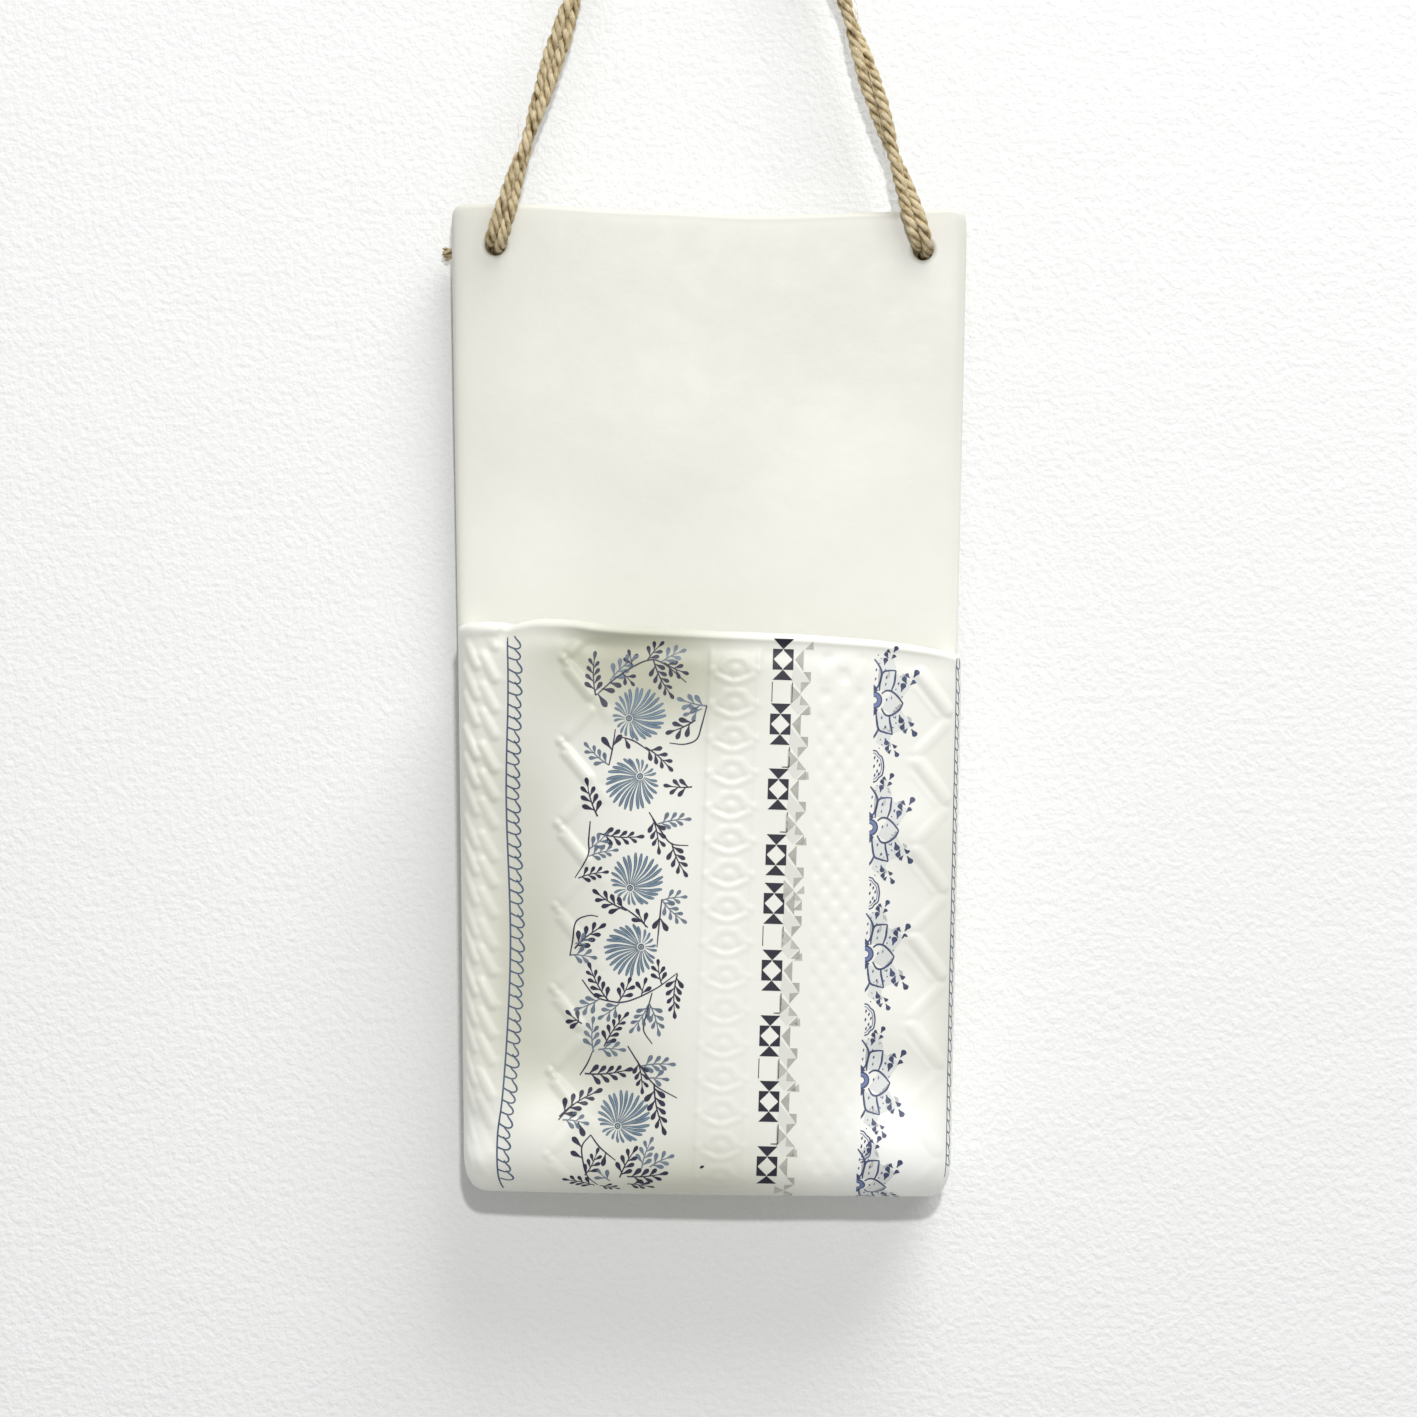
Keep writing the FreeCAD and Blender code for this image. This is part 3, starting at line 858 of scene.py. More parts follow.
def track(x: Array, h: Array, path: Sequence[Place], width: float) -> Array:
    """Round-topped bars from point to point along a path."""
    return np.maximum.reduce([rod(x, h, start, end, width) for start, end in zip(path, path[1:])])


def bead(x: Array, h: Array, middle: Place, width: float) -> Array:
    """A round bead, from 0 outside it to 1 at its middle."""
    away = np.hypot(x - middle[0], h - middle[1])
    return np.clip(1 - (2 * away / width) ** 2, 0, 1) ** 1.2


def soft_band(x: Array, low: float, high: float, edge: float) -> Array:
    """1 between two places and 0 outside them, with soft edges."""
    return 1 / (1 + np.exp(-(x - low) / edge)) / (1 + np.exp((x - high) / edge))


class Relief(Protocol):
    """A pattern pressed into the clay."""

    def relief(self, x: Array, h: Array) -> Array:
        """The height of the relief."""


@dataclass(frozen=True)
class Band:
    """A strip that runs down the pocket, slanting a little to the left."""

    top_x: float
    slant: float = 0.031
    top_h: float = 138.0

    def across(self, x: Array, h: Array) -> Array:
        """The place across, measured from the strip's own middle line."""
        return x - self.top_x - self.slant * (h - self.top_h)

    def middle(self, h: float) -> float:
        """The strip's middle at a height."""
        return self.top_x + self.slant * (h - self.top_h)


@dataclass(frozen=True)
class TwistedCord:
    """A plump cord pressed into the clay beside the left edge: two rows of slanting lozenges."""

    band: Band = Band(-55.3, 0.012)
    first: float = -3.0
    pitch: float = 7.3
    count: int = 21
    wander: float = 0.5
    left: tuple[Place, Place] = ((-4.6, 3.6), (-0.9, -2.9))
    right: tuple[Place, Place] = ((0.5, 3.0), (3.6, -2.6))
    width: float = 3.3
    height: float = 0.7

    def relief(self, x: Array, h: Array) -> Array:
        """The height of the relief."""
        across = self.band.across(x, h)
        total = np.zeros_like(x)
        for step in range(self.count):
            level = self.first + step * self.pitch + self.wander * math.sin(2.3 * step)
            lift = self.height * (0.84 + 0.16 * math.sin(1.7 * step))
            for (start, end), drop, share in ((self.left, 0.0, 1.0), (self.right, 3.5, 0.85)):
                bar = rod(across, h, (start[0], level + start[1] - drop), (end[0], level + end[1] - drop),
                          self.width)
                total = np.maximum(total, lift * share * bar)
        return total


@dataclass(frozen=True)
class Lattice:
    """A knitted lattice: beads at the left, and bars between them that cross under the print."""

    band: Band = Band(-35.0, 0.034)
    first: float = 154.3
    pitch: float = 20.3
    count: int = 9
    fall: tuple[Place, ...] = ((1.5, -2.1), (7.0, -8.4), (11.8, -13.6))
    climb: tuple[Place, ...] = ((1.9, 2.3), (7.0, 8.0), (11.8, 13.2))
    bar: float = 4.0
    height: float = 0.66

    def relief(self, x: Array, h: Array) -> Array:
        """The height of the relief."""
        across = self.band.across(x, h)
        total = np.zeros_like(x)
        for step in range(self.count):
            level = self.first - step * self.pitch
            for path, share in ((self.fall, 1.0), (self.climb, 0.62)):
                near, middle, far = ((px, level + ph) for px, ph in path)
                total = np.maximum(total, self.height * share * rod(across, h, near, middle, self.bar))
                total = np.maximum(total, 0.3 * self.height * share * rod(across, h, middle, far, self.bar))
            knob = np.maximum(bead(across, h, (0.0, level + 0.5), 2.7),
                              bead(across, h, (1.0, level - 0.8), 2.2))
            total = np.maximum(total, 0.95 * self.height * knob)
            total -= 0.2 * rod(across, h, (-1.0, level - 2.0), (1.6, level - 1.8), 1.2)
        return total


@dataclass(frozen=True)
class Horseshoes:
    """A strip of pressed horseshoes, each with a bead in its mouth, between square ridges."""

    band: Band = Band(7.1, 0.031)
    first: float = 132.6
    pitch: float = 8.35
    count: int = 18
    half: float = 6.1
    arch: tuple[Place, ...] = ((0.0, 2.2), (2.2, 1.8), (3.3, 0.2), (3.6, -0.9), (5.7, -1.0))
    cup: tuple[Place, ...] = ((0.0, -4.1), (2.1, -3.4), (4.6, -2.3))
    groove: tuple[Place, ...] = ((0.9, -2.9), (2.6, -2.1), (4.3, -0.9))
    height: float = 0.19

    def relief(self, x: Array, h: Array) -> Array:
        """The height of the relief."""
        across = self.band.across(x, h)
        side = np.abs(across)
        total = 0.2 * soft_band(across, -self.half - 0.6, self.half + 0.5, 0.2)
        total += 0.14 * rod(side, h, (self.half - 0.3, -10), (self.half - 0.3, 150), 1.5)
        for step in range(self.count):
            level = self.first - step * self.pitch
            ridge = np.maximum(track(side, h - level, self.arch, 2.7), track(side, h - level, self.cup, 2.4))
            ridge = np.maximum(ridge, 1.15 * bead(across, h, (0, level - 0.9), 3.0))
            total += self.height * (ridge - 0.7 * track(side, h - level, self.groove, 1.5))
        return total


@dataclass(frozen=True)
class DiamondNet:
    """A net of small diamonds, dimpled between its cords, with a few larger ones at the rim."""

    band: Band = Band(33.0, 0.026)
    half: float = 5.5
    column: float = 5.0
    row: float = 6.3
    coarse_above: float = 121.0
    height: float = 0.26

    def relief(self, x: Array, h: Array) -> Array:
        """The height of the relief."""
        across = self.band.across(x, h)
        fine = self._mesh(across, h, self.column, self.row)
        large = 1.6 * self._mesh(across - 0.6, h - self.coarse_above, 1.75 * self.column, 1.45 * self.row)
        share = 1 / (1 + np.exp(-(h - self.coarse_above) / 1.2))
        return soft_band(across, -self.half, self.half, 0.3) * (fine * (1 - share) + large * share)

    def _mesh(self, across: Array, h: Array, column: float, row: float) -> Array:
        """Ridges round dimples, at one size of mesh."""
        wave = np.cos(2 * math.pi * across / column) * np.cos(2 * math.pi * h / row)
        wave += 0.18 * np.sin(h / 5.3 + across / 1.9)
        return self.height * (0.5 - 0.8 * np.clip(wave, 0, 1) ** 1.4 + 0.25 * np.clip(-wave, 0, 1) ** 2)


@dataclass(frozen=True)
class Zigzag:
    """Bars pressed in a zigzag beside the right edge: falling ones crisp, rising ones faint."""

    band: Band = Band(56.0, 0.022)
    first: float = 130.5
    pitch: float = 21.6
    count: int = 7
    half: float = 3.6
    height: float = 0.6

    def relief(self, x: Array, h: Array) -> Array:
        """The height of the relief."""
        across = self.band.across(x, h)
        total = np.zeros_like(x)
        for step in range(self.count):
            level = self.first - step * self.pitch
            fall = rod(across, h, (-self.half, level), (self.half, level - 9.0), 4.2)
            climb = rod(across, h, (self.half - 0.5, level - 12.4), (-self.half, level - 19.0), 3.9)
            twin = rod(across, h, (-self.half - 2.2, level - 2.4), (self.half - 3.0, level - 10.2), 1.5)
            total = np.maximum(total, self.height * np.maximum(fall, 0.5 * climb))
            total = np.maximum(total, 0.2 * self.height * twin)
        return total


# ---- the pocket

@dataclass(frozen=True)
class Wear:
    """How the glaze softens the relief: more so towards the foot, and wholly at the lip and the foot."""

    least: float = 0.32
    gain: float = 0.43
    height: float = 115.0
    wander: float = 0.12
    at_lip: Place = (3.2, 2.6)
    at_foot: Place = (2.0, 6.0)

    def left(self, u: Array, v: Array, below: Array) -> Array:
        """The share of the relief that is left at each place, by its distance below the rim too."""
        share = self.least + self.gain * np.clip(v / self.height, 0, 1)
        share = share + self.wander * np.sin(v / 11.0 + u / 23.0)
        for away, (start, fade) in ((below, self.at_lip), (v, self.at_foot)):
            share = share * np.clip((away - start) / fade, 0, 1)
        return share


@dataclass(frozen=True)
class Sheet:
    """The flat sheet of clay before it is folded, from the inner floor over the rim to the underside."""

    top: Array
    low: Array
    depths: Array
    outer_rows: int
    inner_rows: int = 30
    rim_rows: int = 9

    @property
    def columns(self) -> int:
        """All columns, with those of both sides."""
        return len(self.top) + 2 * len(self.depths)

    @property
    def rows(self) -> int:
        """All rows, with those of the floor and the underside."""
        return self.inner_rows + self.rim_rows + self.outer_rows + 2 * len(self.depths)

    def back(self, steps: Array) -> Array:
        """How far back a column or row lies that is so many steps past the front."""
        return np.where(steps > 0, self.depths[np.clip(steps - 1, 0, len(self.depths) - 1)], 0.0)


@dataclass
class FrontPocket:
    """The draped pocket: one sheet of clay folded at the sides and the foot, with its rolled rim."""

    hang: Hang
    outline: Outline
    face: float = 34.5
    wall: float = 3.8
    inset: float = 0.6
    crown: float = 4.0
    crown_radius: float = 518.8
    crown_middle: float = 1.4
    round_x: float = 7.5
    round_y: float = 10.5
    round_h: float = 11.5
    squareness: float = 3.0
    rim_rise: float = 1.7
    rim_level: float = 138.0
    row_pitch: float = 0.46
    fine: float = 0.46
    coarse: float = 1.6
    side_steps: int = 13
    weld: float = 0.002
    reliefs: tuple[Relief, ...] = (TwistedCord(), Lattice(), Horseshoes(), DiamondNet(), Zigzag())
    wear: Wear = Wear()
    bands: tuple[tuple[float, float, bool], ...] = (
        # place at the rim, place at the foot, and whether the strip to its right needs a fine mesh
        (-50.2, -52.2, False), (-39.2, -43.6, True), (-23.5, -28.0, False), (0.0, -4.2, True),
        (14.2, 10.0, False), (26.6, 23.0, True), (39.6, 36.0, False), (50.9, 47.6, True))
    rim_line: Profile = Profile((
        (-62, 142.4), (-58, 143.2), (-54, 143.3), (-50.5, 143.0), (-48.5, 142.5), (-46, 143.4), (-42, 144.1),
        (-37, 144.0), (-32, 143.6), (-26, 142.8), (-19, 142.2), (3, 141.1), (23, 140.3), (42, 138.9),
        (54, 137.3), (59, 136.3), (62, 135.4), (66, 134.6)))
    lip_depth: Profile = Profile((
        (-62, 3.4), (-52, 3.0), (-49, 1.0), (-36, 1.1), (-29, 2.2), (-18, 2.2), (10, 1.7), (40, 1.8),
        (56, 2.0), (62, 1.6)))
    lip_height: Profile = Profile((
        (-70, 0.0), (-61, 0.2), (-54, 0.5), (-49, 0.3), (-40, 0.35), (-20, 0.55), (20, 0.5), (50, 0.45),
        (60, 0.2), (68, 0.0)))
    lip_hollow: Profile = Profile((
        (-60, 0.1), (-50, 0.15), (-38, 0.4), (-27, 0.75), (-16, 0.5), (0, 0.3), (60, 0.15)))
    pinch: Mound = Mound(0.6, (-49.4, 1.5), (1.1, 3.0))
    swells: tuple[Mound, ...] = (
        # the full corners at the foot, and the tucks beside the left one
        Mound(2.3, (-46, 17), (13, 11)), Mound(3.0, (48, 13), (13, 11)),
        Mound(-1.9, (-57, 20), (4, 6)), Mound(0.8, (-56, 11), (5, 4)),
        # the hollows of the drape
        Mound(-3.2, (-47, 72), (17, 40)), Mound(-0.9, (-27, 134), (10, 7)), Mound(-1.0, (-28, 32), (10, 9)),
        # small knocks at the right
        Mound(0.8, (52, 92), (7, 8)), Mound(-0.9, (48, 58), (9, 8)), Mound(0.6, (54, 38), (6, 6)),
        Mound(-0.7, (44, 34), (7, 6)))
    tones: tuple[Mound, ...] = (
        # painted shade: dull in the hollows
        Mound(-0.46, (-20, 132), (26, 14)), Mound(-0.16, (-6, 128), (16, 14)),
        Mound(-0.18, (-22, 136), (16, 5)), Mound(-0.34, (-47, 56), (10, 38)),
        Mound(-0.14, (-34, 66), (13, 26)), Mound(-0.28, (-26, 33), (17, 12)),
        Mound(-0.32, (-8, 7), (34, 10)), Mound(-0.16, (-50, 103), (13, 15)),
        Mound(-0.12, (58, 60), (5, 50)), Mound(-0.1, (46, 84), (7, 9)),
        # painted highlight: white where it stands proud
        Mound(0.5, (49, 12), (14, 13)), Mound(0.2, (36, 60), (14, 60)), Mound(0.2, (-57, 16), (5, 9)),
        Mound(0.14, (-46, 17), (12, 11)))

    # the form

    def swell(self, x: Array, h: Array) -> Array:
        """How much further forward than its plain box the face stands."""
        crown = self.crown - (x - self.crown_middle) ** 2 / (2 * self.crown_radius)
        slow = 0.25 * np.sin(x / 13 + 0.5) * np.sin(h / 19) + 0.15 * np.sin(x / 7.5 + h / 23)
        return crown + slow + sum(mound.rise(x, h) for mound in self.swells)

    def painted_shading(self, x: Array, h: Array) -> Array:
        """The pocket's painted shade and highlight: dull in its hollows at the left, white at the lower
        right.
        """
        return 0.5 + sum(mound.rise(x, h) for mound in self.tones)

    def _rounded(self, x: Array, y: Array, h: Array, inward: float) -> Array:
        """Draw points of a sharp box in to the rounded, swollen pocket.

        Args:
            x: Places across.
            y: Depths, negative to the front.
            h: Heights.
            inward: How far the box lies inside the outer faces.
        Returns:
            The points, in rows.
        """
        left = self.outline.left(h) + self.inset + inward
        right = self.outline.right(h) - self.inset - inward
        foot = self.outline.foot(x) + self.inset + inward
        ease = 0.8 * inward
        rx, ry, rh = self.round_x - ease, self.round_y - ease, self.round_h - ease
        core = (np.clip(x, left + rx, right - rx), np.maximum(y, inward - self.face + ry),
                np.maximum(h, foot + rh))
        parts = drawn_in([(x - core[0]) / rx, (y - core[1]) / ry, (h - core[2]) / rh], self.squareness)
        px, py, ph = (middle + part * r for middle, part, r in zip(core, parts, (rx, ry, rh)))
        deep = -py - self.outline.thick
        box_depth = self.face - self.outline.thick
        py = -self.outline.thick - deep * (1 + self.swell(px, ph) / box_depth)
        return np.stack([px, py, ph], axis=-1)

    def outside(self, u: Array, v: Array) -> Array:
        """Points of the smooth outer skin by their place on the unfolded sheet.

        Args:
            u: Places across, past the edges onto the sides.
            v: Heights, below the foot onto the underside.
        Returns:
            The points, in rows.
        """
        u, v = np.broadcast_arrays(np.asarray(u, dtype=float), np.asarray(v, dtype=float))
        low = self.outline.left(v) + self.inset
        high = self.outline.right(v) - self.inset
        x = np.clip(u, low, high)
        foot = self.outline.foot(x) + self.inset
        h = np.maximum(v, foot)
        back = np.abs(u - x) + (h - v)
        return self._rounded(x, back - self.face, h, 0.0)

    def normal(self, u: Array, v: Array) -> Array:
        """The outward direction of the smooth skin."""
        step = 0.4
        across = self.outside(u + step, v) - self.outside(u - step, v)
        up = self.outside(u, v + step) - self.outside(u, v - step)
        away = np.cross(across, up)
        return away / np.maximum(np.linalg.norm(away, axis=-1, keepdims=True), 1e-12)

    def raised(self, u: Array, v: Array) -> Array:
        """The height of the relief and the rolled lip above the smooth skin."""
        below = self.rim_line.at(u) - v
        total = sum(relief.relief(u, v) for relief in self.reliefs) * self.wear.left(u, v, below)
        under = below - self.lip_depth.at(u)
        lip = self.lip_height.at(u) / (1 + np.exp(under / 0.28))
        hollow = self.lip_hollow.at(u) * np.exp(-((under - 2.6) / 2.4) ** 2)
        return total + lip - hollow - self.pinch.rise(u, below)

    def skin(self, u: Array, v: Array, lift: float = 0.0) -> Array:
        """Points of the finished outer face, relief and all, raised by a lift."""
        u, v = np.broadcast_arrays(np.asarray(u, dtype=float), np.asarray(v, dtype=float))
        return self.outside(u, v) + self.normal(u, v) * (self.raised(u, v) + lift)[..., None]

    # the sheet

    def _plan(self) -> Sheet:
        """Where the sheet's columns run at the rim and the foot, and how its sides and underside go back."""
        lines = [[self.outline.left(h) + self.inset, *(band[end] for band in self.bands),
                  self.outline.right(h) - self.inset] for end, h in enumerate((self.rim_level, 0.0))]
        columns: tuple[list[float], list[float]] = ([], [])
        for index, is_fine in enumerate([True, *(band[2] for band in self.bands)]):
            width = lines[0][index + 1] - lines[0][index]
            count = max(2, round(width / (self.fine if is_fine else self.coarse)))
            for line, places in zip(lines, columns):
                places += list(line[index] + (line[index + 1] - line[index]) * np.arange(count) / count)
        top, low = (np.array([*places, line[-1]]) for line, places in zip(lines, columns))
        share = np.arange(1, self.side_steps + 1) / self.side_steps
        depths = (self.face - self.outline.thick) * share ** 1.15
        return Sheet(top, low, depths, round(self.rim_level / self.row_pitch))

    def build(self, finish: Finish) -> Piece:
        """Model the pocket.

        Args:
            finish: Its porcelain.
        Returns:
            The pocket, in place of its node.
        """
        plan = self._plan()
        sheet = Bench.grid("porcelain_pocket", plan.columns, plan.rows)
        self._cut_corners(sheet, plan)
        unit = Bench.points(sheet)
        column = np.rint((unit[:, 0] + 0.5) * (plan.columns - 1)).astype(int)
        row = np.rint((unit[:, 1] + 0.5) * (plan.rows - 1)).astype(int)
        Bench.shape(sheet, self._fold(column, row, plan) * MM)
        Bench.outward(sheet, self.weld * MM)
        self._close_seam(sheet)
        Bench.outward(sheet)
        Bench.smooth(sheet)
        points = Bench.points(sheet) / MM
        # store the painted shade and highlight as the pocket's tone
        Bench.tone(sheet, self.painted_shading(points[:, 0], points[:, 2]))
        Bench.settle(sheet, self.hang.matrix())
        return Bench.dress(sheet, finish, Slot.PRINTED, Body.VASE, ["front_pocket"])

    @staticmethod
    def _cut_corners(sheet: Piece, plan: Sheet) -> None:
        """Cut the four corner squares out of the flat sheet, so that it can be folded."""
        centres = Bench.face_centres(sheet)
        side, last_column, last_row = len(plan.depths), plan.columns - 1, plan.rows - 1
        column = (centres[:, 0] + 0.5) * last_column
        row = (centres[:, 1] + 0.5) * last_row
        beside = (column < side) | (column > last_column - side)
        beyond = (row < side) | (row > last_row - side)
        Bench.pick(sheet, Pick.FACES, beside & beyond)
        with Bench.editing(sheet):
            bpy.ops.mesh.delete(type="FACE")

    def _fold(self, column: Array, row: Array, plan: Sheet) -> Array:
        """Fold the flat sheet into the pocket.

        Args:
            column: Each vertex's column.
            row: Each vertex's row.
            plan: The sheet's plan.
        Returns:
            The vertices' points.
        """
        side, count = len(plan.depths), len(plan.top)
        front = np.clip(column - side, 0, count - 1)
        back = plan.back(np.maximum(side - column, column - side - count + 1))
        first_rim = side + plan.inner_rows
        first_outer = first_rim + plan.rim_rows
        inner_share = np.clip((row - side) / plan.inner_rows, 0, 1)
        outer_share = 1 - np.clip((row - first_outer + 1) / plan.outer_rows, 0, 1)
        under = plan.back(row - first_outer - plan.outer_rows + 1)
        outer = self._sheet_point(front, back, under, outer_share, plan, 0.0)
        inner = self._sheet_point(front, back, plan.back(side - row), inner_share, plan, self.wall)
        angle = math.pi * np.clip(row - first_rim, 0, plan.rim_rows - 1) / (plan.rim_rows - 1)
        lean = ((1 + np.cos(angle)) / 2)[:, None]
        points = outer * (1 - lean) + inner * lean
        points[:, 2] += np.sin(angle) * self.rim_rise
        return points

    def _sheet_point(self, front: Array, back: Array, under: Array, share: Array, plan: Sheet,
                     inward: float) -> Array:
        """Points of the outer or the inner wall.

        Args:
            front: The front column that each point belongs to.
            back: How far back it lies along a side.
            under: How far back it lies along the floor or the underside.
            share: Its share of the way from the foot to the rim.
            plan: The sheet's plan.
            inward: The wall's thickness, or 0 for the outer wall.
        Returns:
            The points, in rows.
        """
        guess = plan.low[front] + (plan.top[front] - plan.low[front]) * share
        foot = self.outline.foot(guess) + self.inset + inward
        h = foot + (self.rim_line.at(guess) - self.rim_rise - foot) * share
        slope = (h - self.outline.foot(guess)) / self.rim_level
        x = plan.low[front] + (plan.top[front] - plan.low[front]) * slope
        left = self.outline.left(h) + self.inset
        right = self.outline.right(h) - self.inset
        x = np.where(front == 0, left, np.where(front == len(plan.top) - 1, right, x))
        if inward:
            scale = np.where(x < 0, (left + inward) / left, (right - inward) / right)
            full = self.face - self.outline.thick
            y = (back + under) * (full - inward) / full + inward - self.face
            return self._rounded(x * scale, y, h, inward)
        u, v = x + np.where(front == 0, -back, back), h - under
        points = self._rounded(x, back + under - self.face, h, 0.0)
        return points + self.normal(u, v) * self.raised(u, v)[:, None]

    def _close_seam(self, sheet: Piece) -> None:
        """Fill the edge of the clay that is pressed against the slab."""
        seam = [edge.index for edge in Bench.open_edges(sheet)]
        LOG.info("pocket seam: %d open edges", len(seam))
        Bench.pick(sheet, Pick.EDGES, np.isin(np.arange(len(sheet.data.edges)), seam))
        with Bench.editing(sheet):
            bpy.ops.mesh.fill(use_beauty=False)


# ---- the prints

def smooth_line(line: Sequence[Place], along: Array) -> tuple[Array, Array]:
    """A smooth line through given points.

    Args:
        line: The points.
        along: Shares of the line's length, from 0 to 1.
    Returns:
        The places at those shares, and the directions to the line's right.
    """
    knots = np.asarray(line, dtype=float)
    runs = np.linalg.norm(np.diff(knots, axis=0), axis=1)
    marks = np.concatenate([[0], np.cumsum(runs)]) / runs.sum()
    padded = np.vstack([2 * knots[0] - knots[1], knots, 2 * knots[-1] - knots[-2]])
    index = np.clip(np.searchsorted(marks, along, side="right") - 1, 0, len(runs) - 1)
    part = ((along - marks[index]) / (marks[index + 1] - marks[index]))[:, None]
    a, b, c, d = (padded[index + step] for step in range(4))
    bend, twist = 2 * a - 5 * b + 4 * c - d, 3 * b - a - 3 * c + d
    places = 0.5 * (2 * b + (c - a) * part + bend * part ** 2 + twist * part ** 3)
    heading = c - a + 2 * bend * part + 3 * twist * part ** 2
    heading /= np.maximum(np.linalg.norm(heading, axis=1, keepdims=True), 1e-9)
    return places, np.column_stack([heading[:, 1], -heading[:, 0]])


class Pen:
    """Draws flat marks in millimetres, each a small grid drawn to its shape."""

    broad: float = 0.55

    @staticmethod
    def stroke(line: Sequence[Place], widths: Sequence[float], steps: int = 6,
               tone: tuple[float, float] = (0.2, 0.2)) -> Piece:
        """A mark along a smooth line.

        Args:
            line: Points that the line runs through.
            widths: Widths at even places along it.
            steps: Faces along it.
            tone: How thin the ink lies at its edges and along its middle.
        Returns:
            The mark.
        """
        columns = 3 if max(widths) > Pen.broad else 2
        mark = Bench.grid("stroke", columns, steps + 1)
        unit = Bench.points(mark)
        across, along = unit[:, 0], unit[:, 1] + 0.5
        places, sides = smooth_line(line, along)
        width = np.interp(along, np.linspace(0, 1, len(widths)), widths)
        flat = places + sides * (across * width)[:, None]
        Bench.flatten(mark, flat)
        middle = 1 - 2 * np.abs(across)
        return Bench.tone(mark, tone[0] + (tone[1] - tone[0]) * middle)

    @staticmethod
    def patch(corners: Sequence[Place], cells: int = 3, tone: float = 0.2) -> Piece:
        """A four-cornered mark, faced to the front; two corners in one place make a triangle."""
        doubled = sum(x * h2 - x2 * h for (x, h), (x2, h2) in zip(corners, [*corners[1:], corners[0]]))
        mark = Bench.grid("patch", cells + 1, cells + 1)
        unit = Bench.points(mark)
        s, t = unit[:, :1] + 0.5, unit[:, 1:2] + 0.5
        a, b, c, d = (np.array(corner, dtype=float) for corner in (corners if doubled > 0 else corners[::-1]))
        flat = a * (1 - s) * (1 - t) + b * s * (1 - t) + c * s * t + d * (1 - s) * t
        Bench.flatten(mark, flat)
        return Bench.tone(mark, np.full(len(flat), tone))

    @staticmethod
    def dash(middle: Place, half: Place, widths: tuple[float, float], tone: float = 0.2,
             steps: int = 4) -> Piece:
        """A dash or a dot.

        Args:
            middle: Its middle.
            half: From its middle to its end.
            widths: Its width at its ends and at its middle.
            tone: How thin the ink lies.
            steps: Faces along it.
        Returns:
            The mark.
        """
        (x, h), (dx, dh), (end, full) = middle, half, widths
        return Pen.stroke(((x - dx, h - dh), (x + dx, h + dh)), (end, full, end), steps, (tone, tone))

    @staticmethod
    def ring(middle: Place, radius: float, width: float, tone: float = 0.2,
             start: float = 0.0, end: float = 360.0, steps: int = 14) -> Piece:
        """A ring or an arc, between two angles in degrees from the right, going round to the left."""
        angles = np.radians(np.linspace(start, end, 9))
        line = [(middle[0] + radius * math.cos(a), middle[1] + radius * math.sin(a)) for a in angles]
        return Pen.stroke(line, (width, width), steps, (tone, tone))


@dataclass(frozen=True)
class Leaf:
    """A club-shaped leaf on a thin stalk, heading in degrees to the left of straight up."""

    length: float = 2.95
    width: float = 1.16

    def mark(self, root: Place, heading: float, tone: float) -> Piece:
        """The leaf, grown from a root."""
        way = math.radians(90 + heading)
        tip = (root[0] + self.length * math.cos(way), root[1] + self.length * math.sin(way))
        widths = tuple(self.width * share for share in (0.22, 0.24, 0.42, 0.74, 0.98, 1.0, 0.3))
        return Pen.stroke((root, tip), widths, 7, (tone, tone + 0.1))


@dataclass(frozen=True)
class Sprig:
    """A curved stem with leaves in pairs and one at its tip."""

    pairs: int
    bend: float
    first: float = 1.3
    gap: float = 1.95
    leaf: Leaf = Leaf()

    @property
    def length(self) -> float:
        """The stem's length."""
        return self.first + self.gap * self.pairs - 0.5

    @property
    def tip(self) -> Place:
        """The end of the leaf at the tip, from the foot."""
        return self.bend * 1.35, self.length + 0.9 * self.leaf.length

    def motif(self, title: str) -> Piece:
        """Draw the sprig with its foot at the origin, growing up."""
        line = [(self.bend * t * t, self.length * t) for t in (0.0, 0.25, 0.5, 0.75, 1.0)]
        marks = [Pen.stroke(line, (0.38, 0.34, 0.3, 0.24), 9)]
        for pair in range(self.pairs):
            size = 1.04 - 0.08 * pair
            leaf = Leaf(self.leaf.length * size, self.leaf.width * size)
            for side in (-1, 1):
                share = (self.first + self.gap * pair + 0.3 * side) / self.length
                lean = -math.degrees(math.atan2(2 * self.bend * share, self.length))
                root = (self.bend * share * share, self.length * share)
                marks.append(leaf.mark(root, lean + side * (47 - 4 * pair), 0.05 + 0.12 * (pair % 2)))
        lean = -math.degrees(math.atan2(2 * self.bend, self.length))
        marks.append(Leaf(0.92 * self.leaf.length, 0.9 * self.leaf.width).mark(line[-1], lean, 0.1))
        return Bench.join(title, marks)


